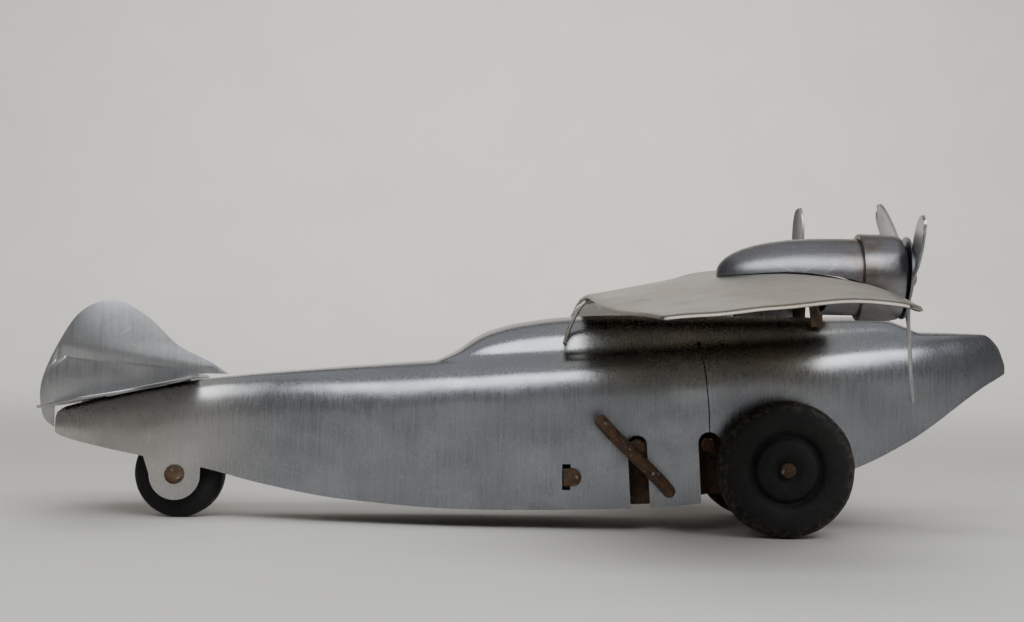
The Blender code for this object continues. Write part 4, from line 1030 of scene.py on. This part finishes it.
def tab_cap():
    """The motor plate's bent tab, with its rounded end and scattered rubbed bright spots."""
    x0, _, z0, z1 = TAB_HOLE
    middle, reach = (z0 + z1) / 2, (z1 - z0) / 2 - 1.3
    round_end = arc_points((x0 + 3.2, middle), reach, -90, 90, 20)
    outline = [(x0 + 0.25, middle - reach), *round_end, (x0 + 0.25, middle + reach)]
    obj = prism("tab_cap_right", outline, (-26.9, -25.4))
    soften(obj, 0.45)
    paint_piece(obj, TAB_PAINT)
    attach(obj, "airframe")


hull()
fin()
tailplane()
wing()
brackets()
for side_name, side in SIDES:
    pod(side_name, side)
    propeller(side_name, side)
    main_wheel(side_name, side)
rods()
tail_wheel()
winding_parts()
second_arbor()
tab_cap()


# ---------------------------------------------------------------- stage, light and camera
def stage_piece(name, points, colour):
    """A pale cloth that runs along the floor and curves up behind."""
    paint = Paint(name, 0.0)
    soft = paint.span(paint.grain(120.0, detail=3.0), 0.3, 0.7)
    low = tuple(0.96 * c for c in colour)
    paint.finish(paint.mix(soft, low, colour), 0.92, paint.grain(1.2, detail=3.0), 0.05)
    vertices = [(x, y, z) for x in (-3000.0, 3000.0) for y, z in points]
    count = len(points)
    faces = [(i, i + 1, count + i + 1, count + i) for i in range(count - 1)]
    obj = new_object(name, vertices, faces, closed=False)
    obj.data.materials.append(paint.material)
    return obj


sweep = arc_points((1500.0, 700.0), 700.0, -90, 0, 24)
stage_piece("studio_sweep", [(-2500.0, 0.0), *sweep, (2200.0, 2600.0)], (0.60, 0.585, 0.555))

world = bpy.data.worlds.new("studio")
bpy.context.scene.world = world
world.use_nodes = True
backing = world.node_tree.nodes["Background"]
backing.inputs["Color"].default_value = (1.0, 0.985, 0.96, 1.0)
backing.inputs["Strength"].default_value = 0.22


def area_light(name, watts, size, place, aim, colour, in_reflections, spread=180.0):
    """A rectangular light at a place, turned towards its aim; sizes and places in metres."""
    light = bpy.data.lights.new(name, "AREA")
    light.shape = "RECTANGLE"
    light.energy = watts
    light.size, light.size_y = size
    light.color = colour
    light.spread = math.radians(spread)
    obj = bpy.data.objects.new(name, light)
    obj.location = place
    obj.rotation_euler = (Vector(aim) - Vector(place)).to_track_quat("-Z", "Y").to_euler()
    obj.visible_glossy = in_reflections
    bpy.context.collection.objects.link(obj)


area_light("front_softbox", 18.5, (1.7, 0.55), (0.12, -0.96, 0.85), (0.0, 0.0, 0.03),
           (0.96, 0.985, 1.0), True)
area_light("overhead", 3.0, (0.9, 0.9), (-0.05, -0.15, 1.20), (0.0, 0.0, 0.0), (1.0, 0.99, 0.97), False)
area_light("ceiling", 7.0, (2.4, 2.0), (0.0, 0.15, 1.90), (0.0, 0.15, 0.0), (0.97, 0.985, 1.0), True)
area_light("backdrop_wash", 30.0, (1.8, 1.2), (0.0, 0.9, 1.9), (0.0, 2.2, 0.7),
           (1.0, 0.98, 0.95), False, 120.0)

CAMERA_PLACE = (-3.25, -563.0, 57.1)
CAMERA_TURN = (91.322, -1.0, 0.0)
SENSOR_WIDTH = 36.0
FOCAL_LENGTH = 59.414

lens = bpy.data.cameras.new("camera")
lens.sensor_width = SENSOR_WIDTH
lens.lens = FOCAL_LENGTH
lens.clip_start = 0.01
camera = bpy.data.objects.new("camera", lens)
camera.location = Vector(CAMERA_PLACE) * MM
camera.rotation_euler = [math.radians(angle) for angle in CAMERA_TURN]
bpy.context.collection.objects.link(camera)
bpy.context.scene.camera = camera
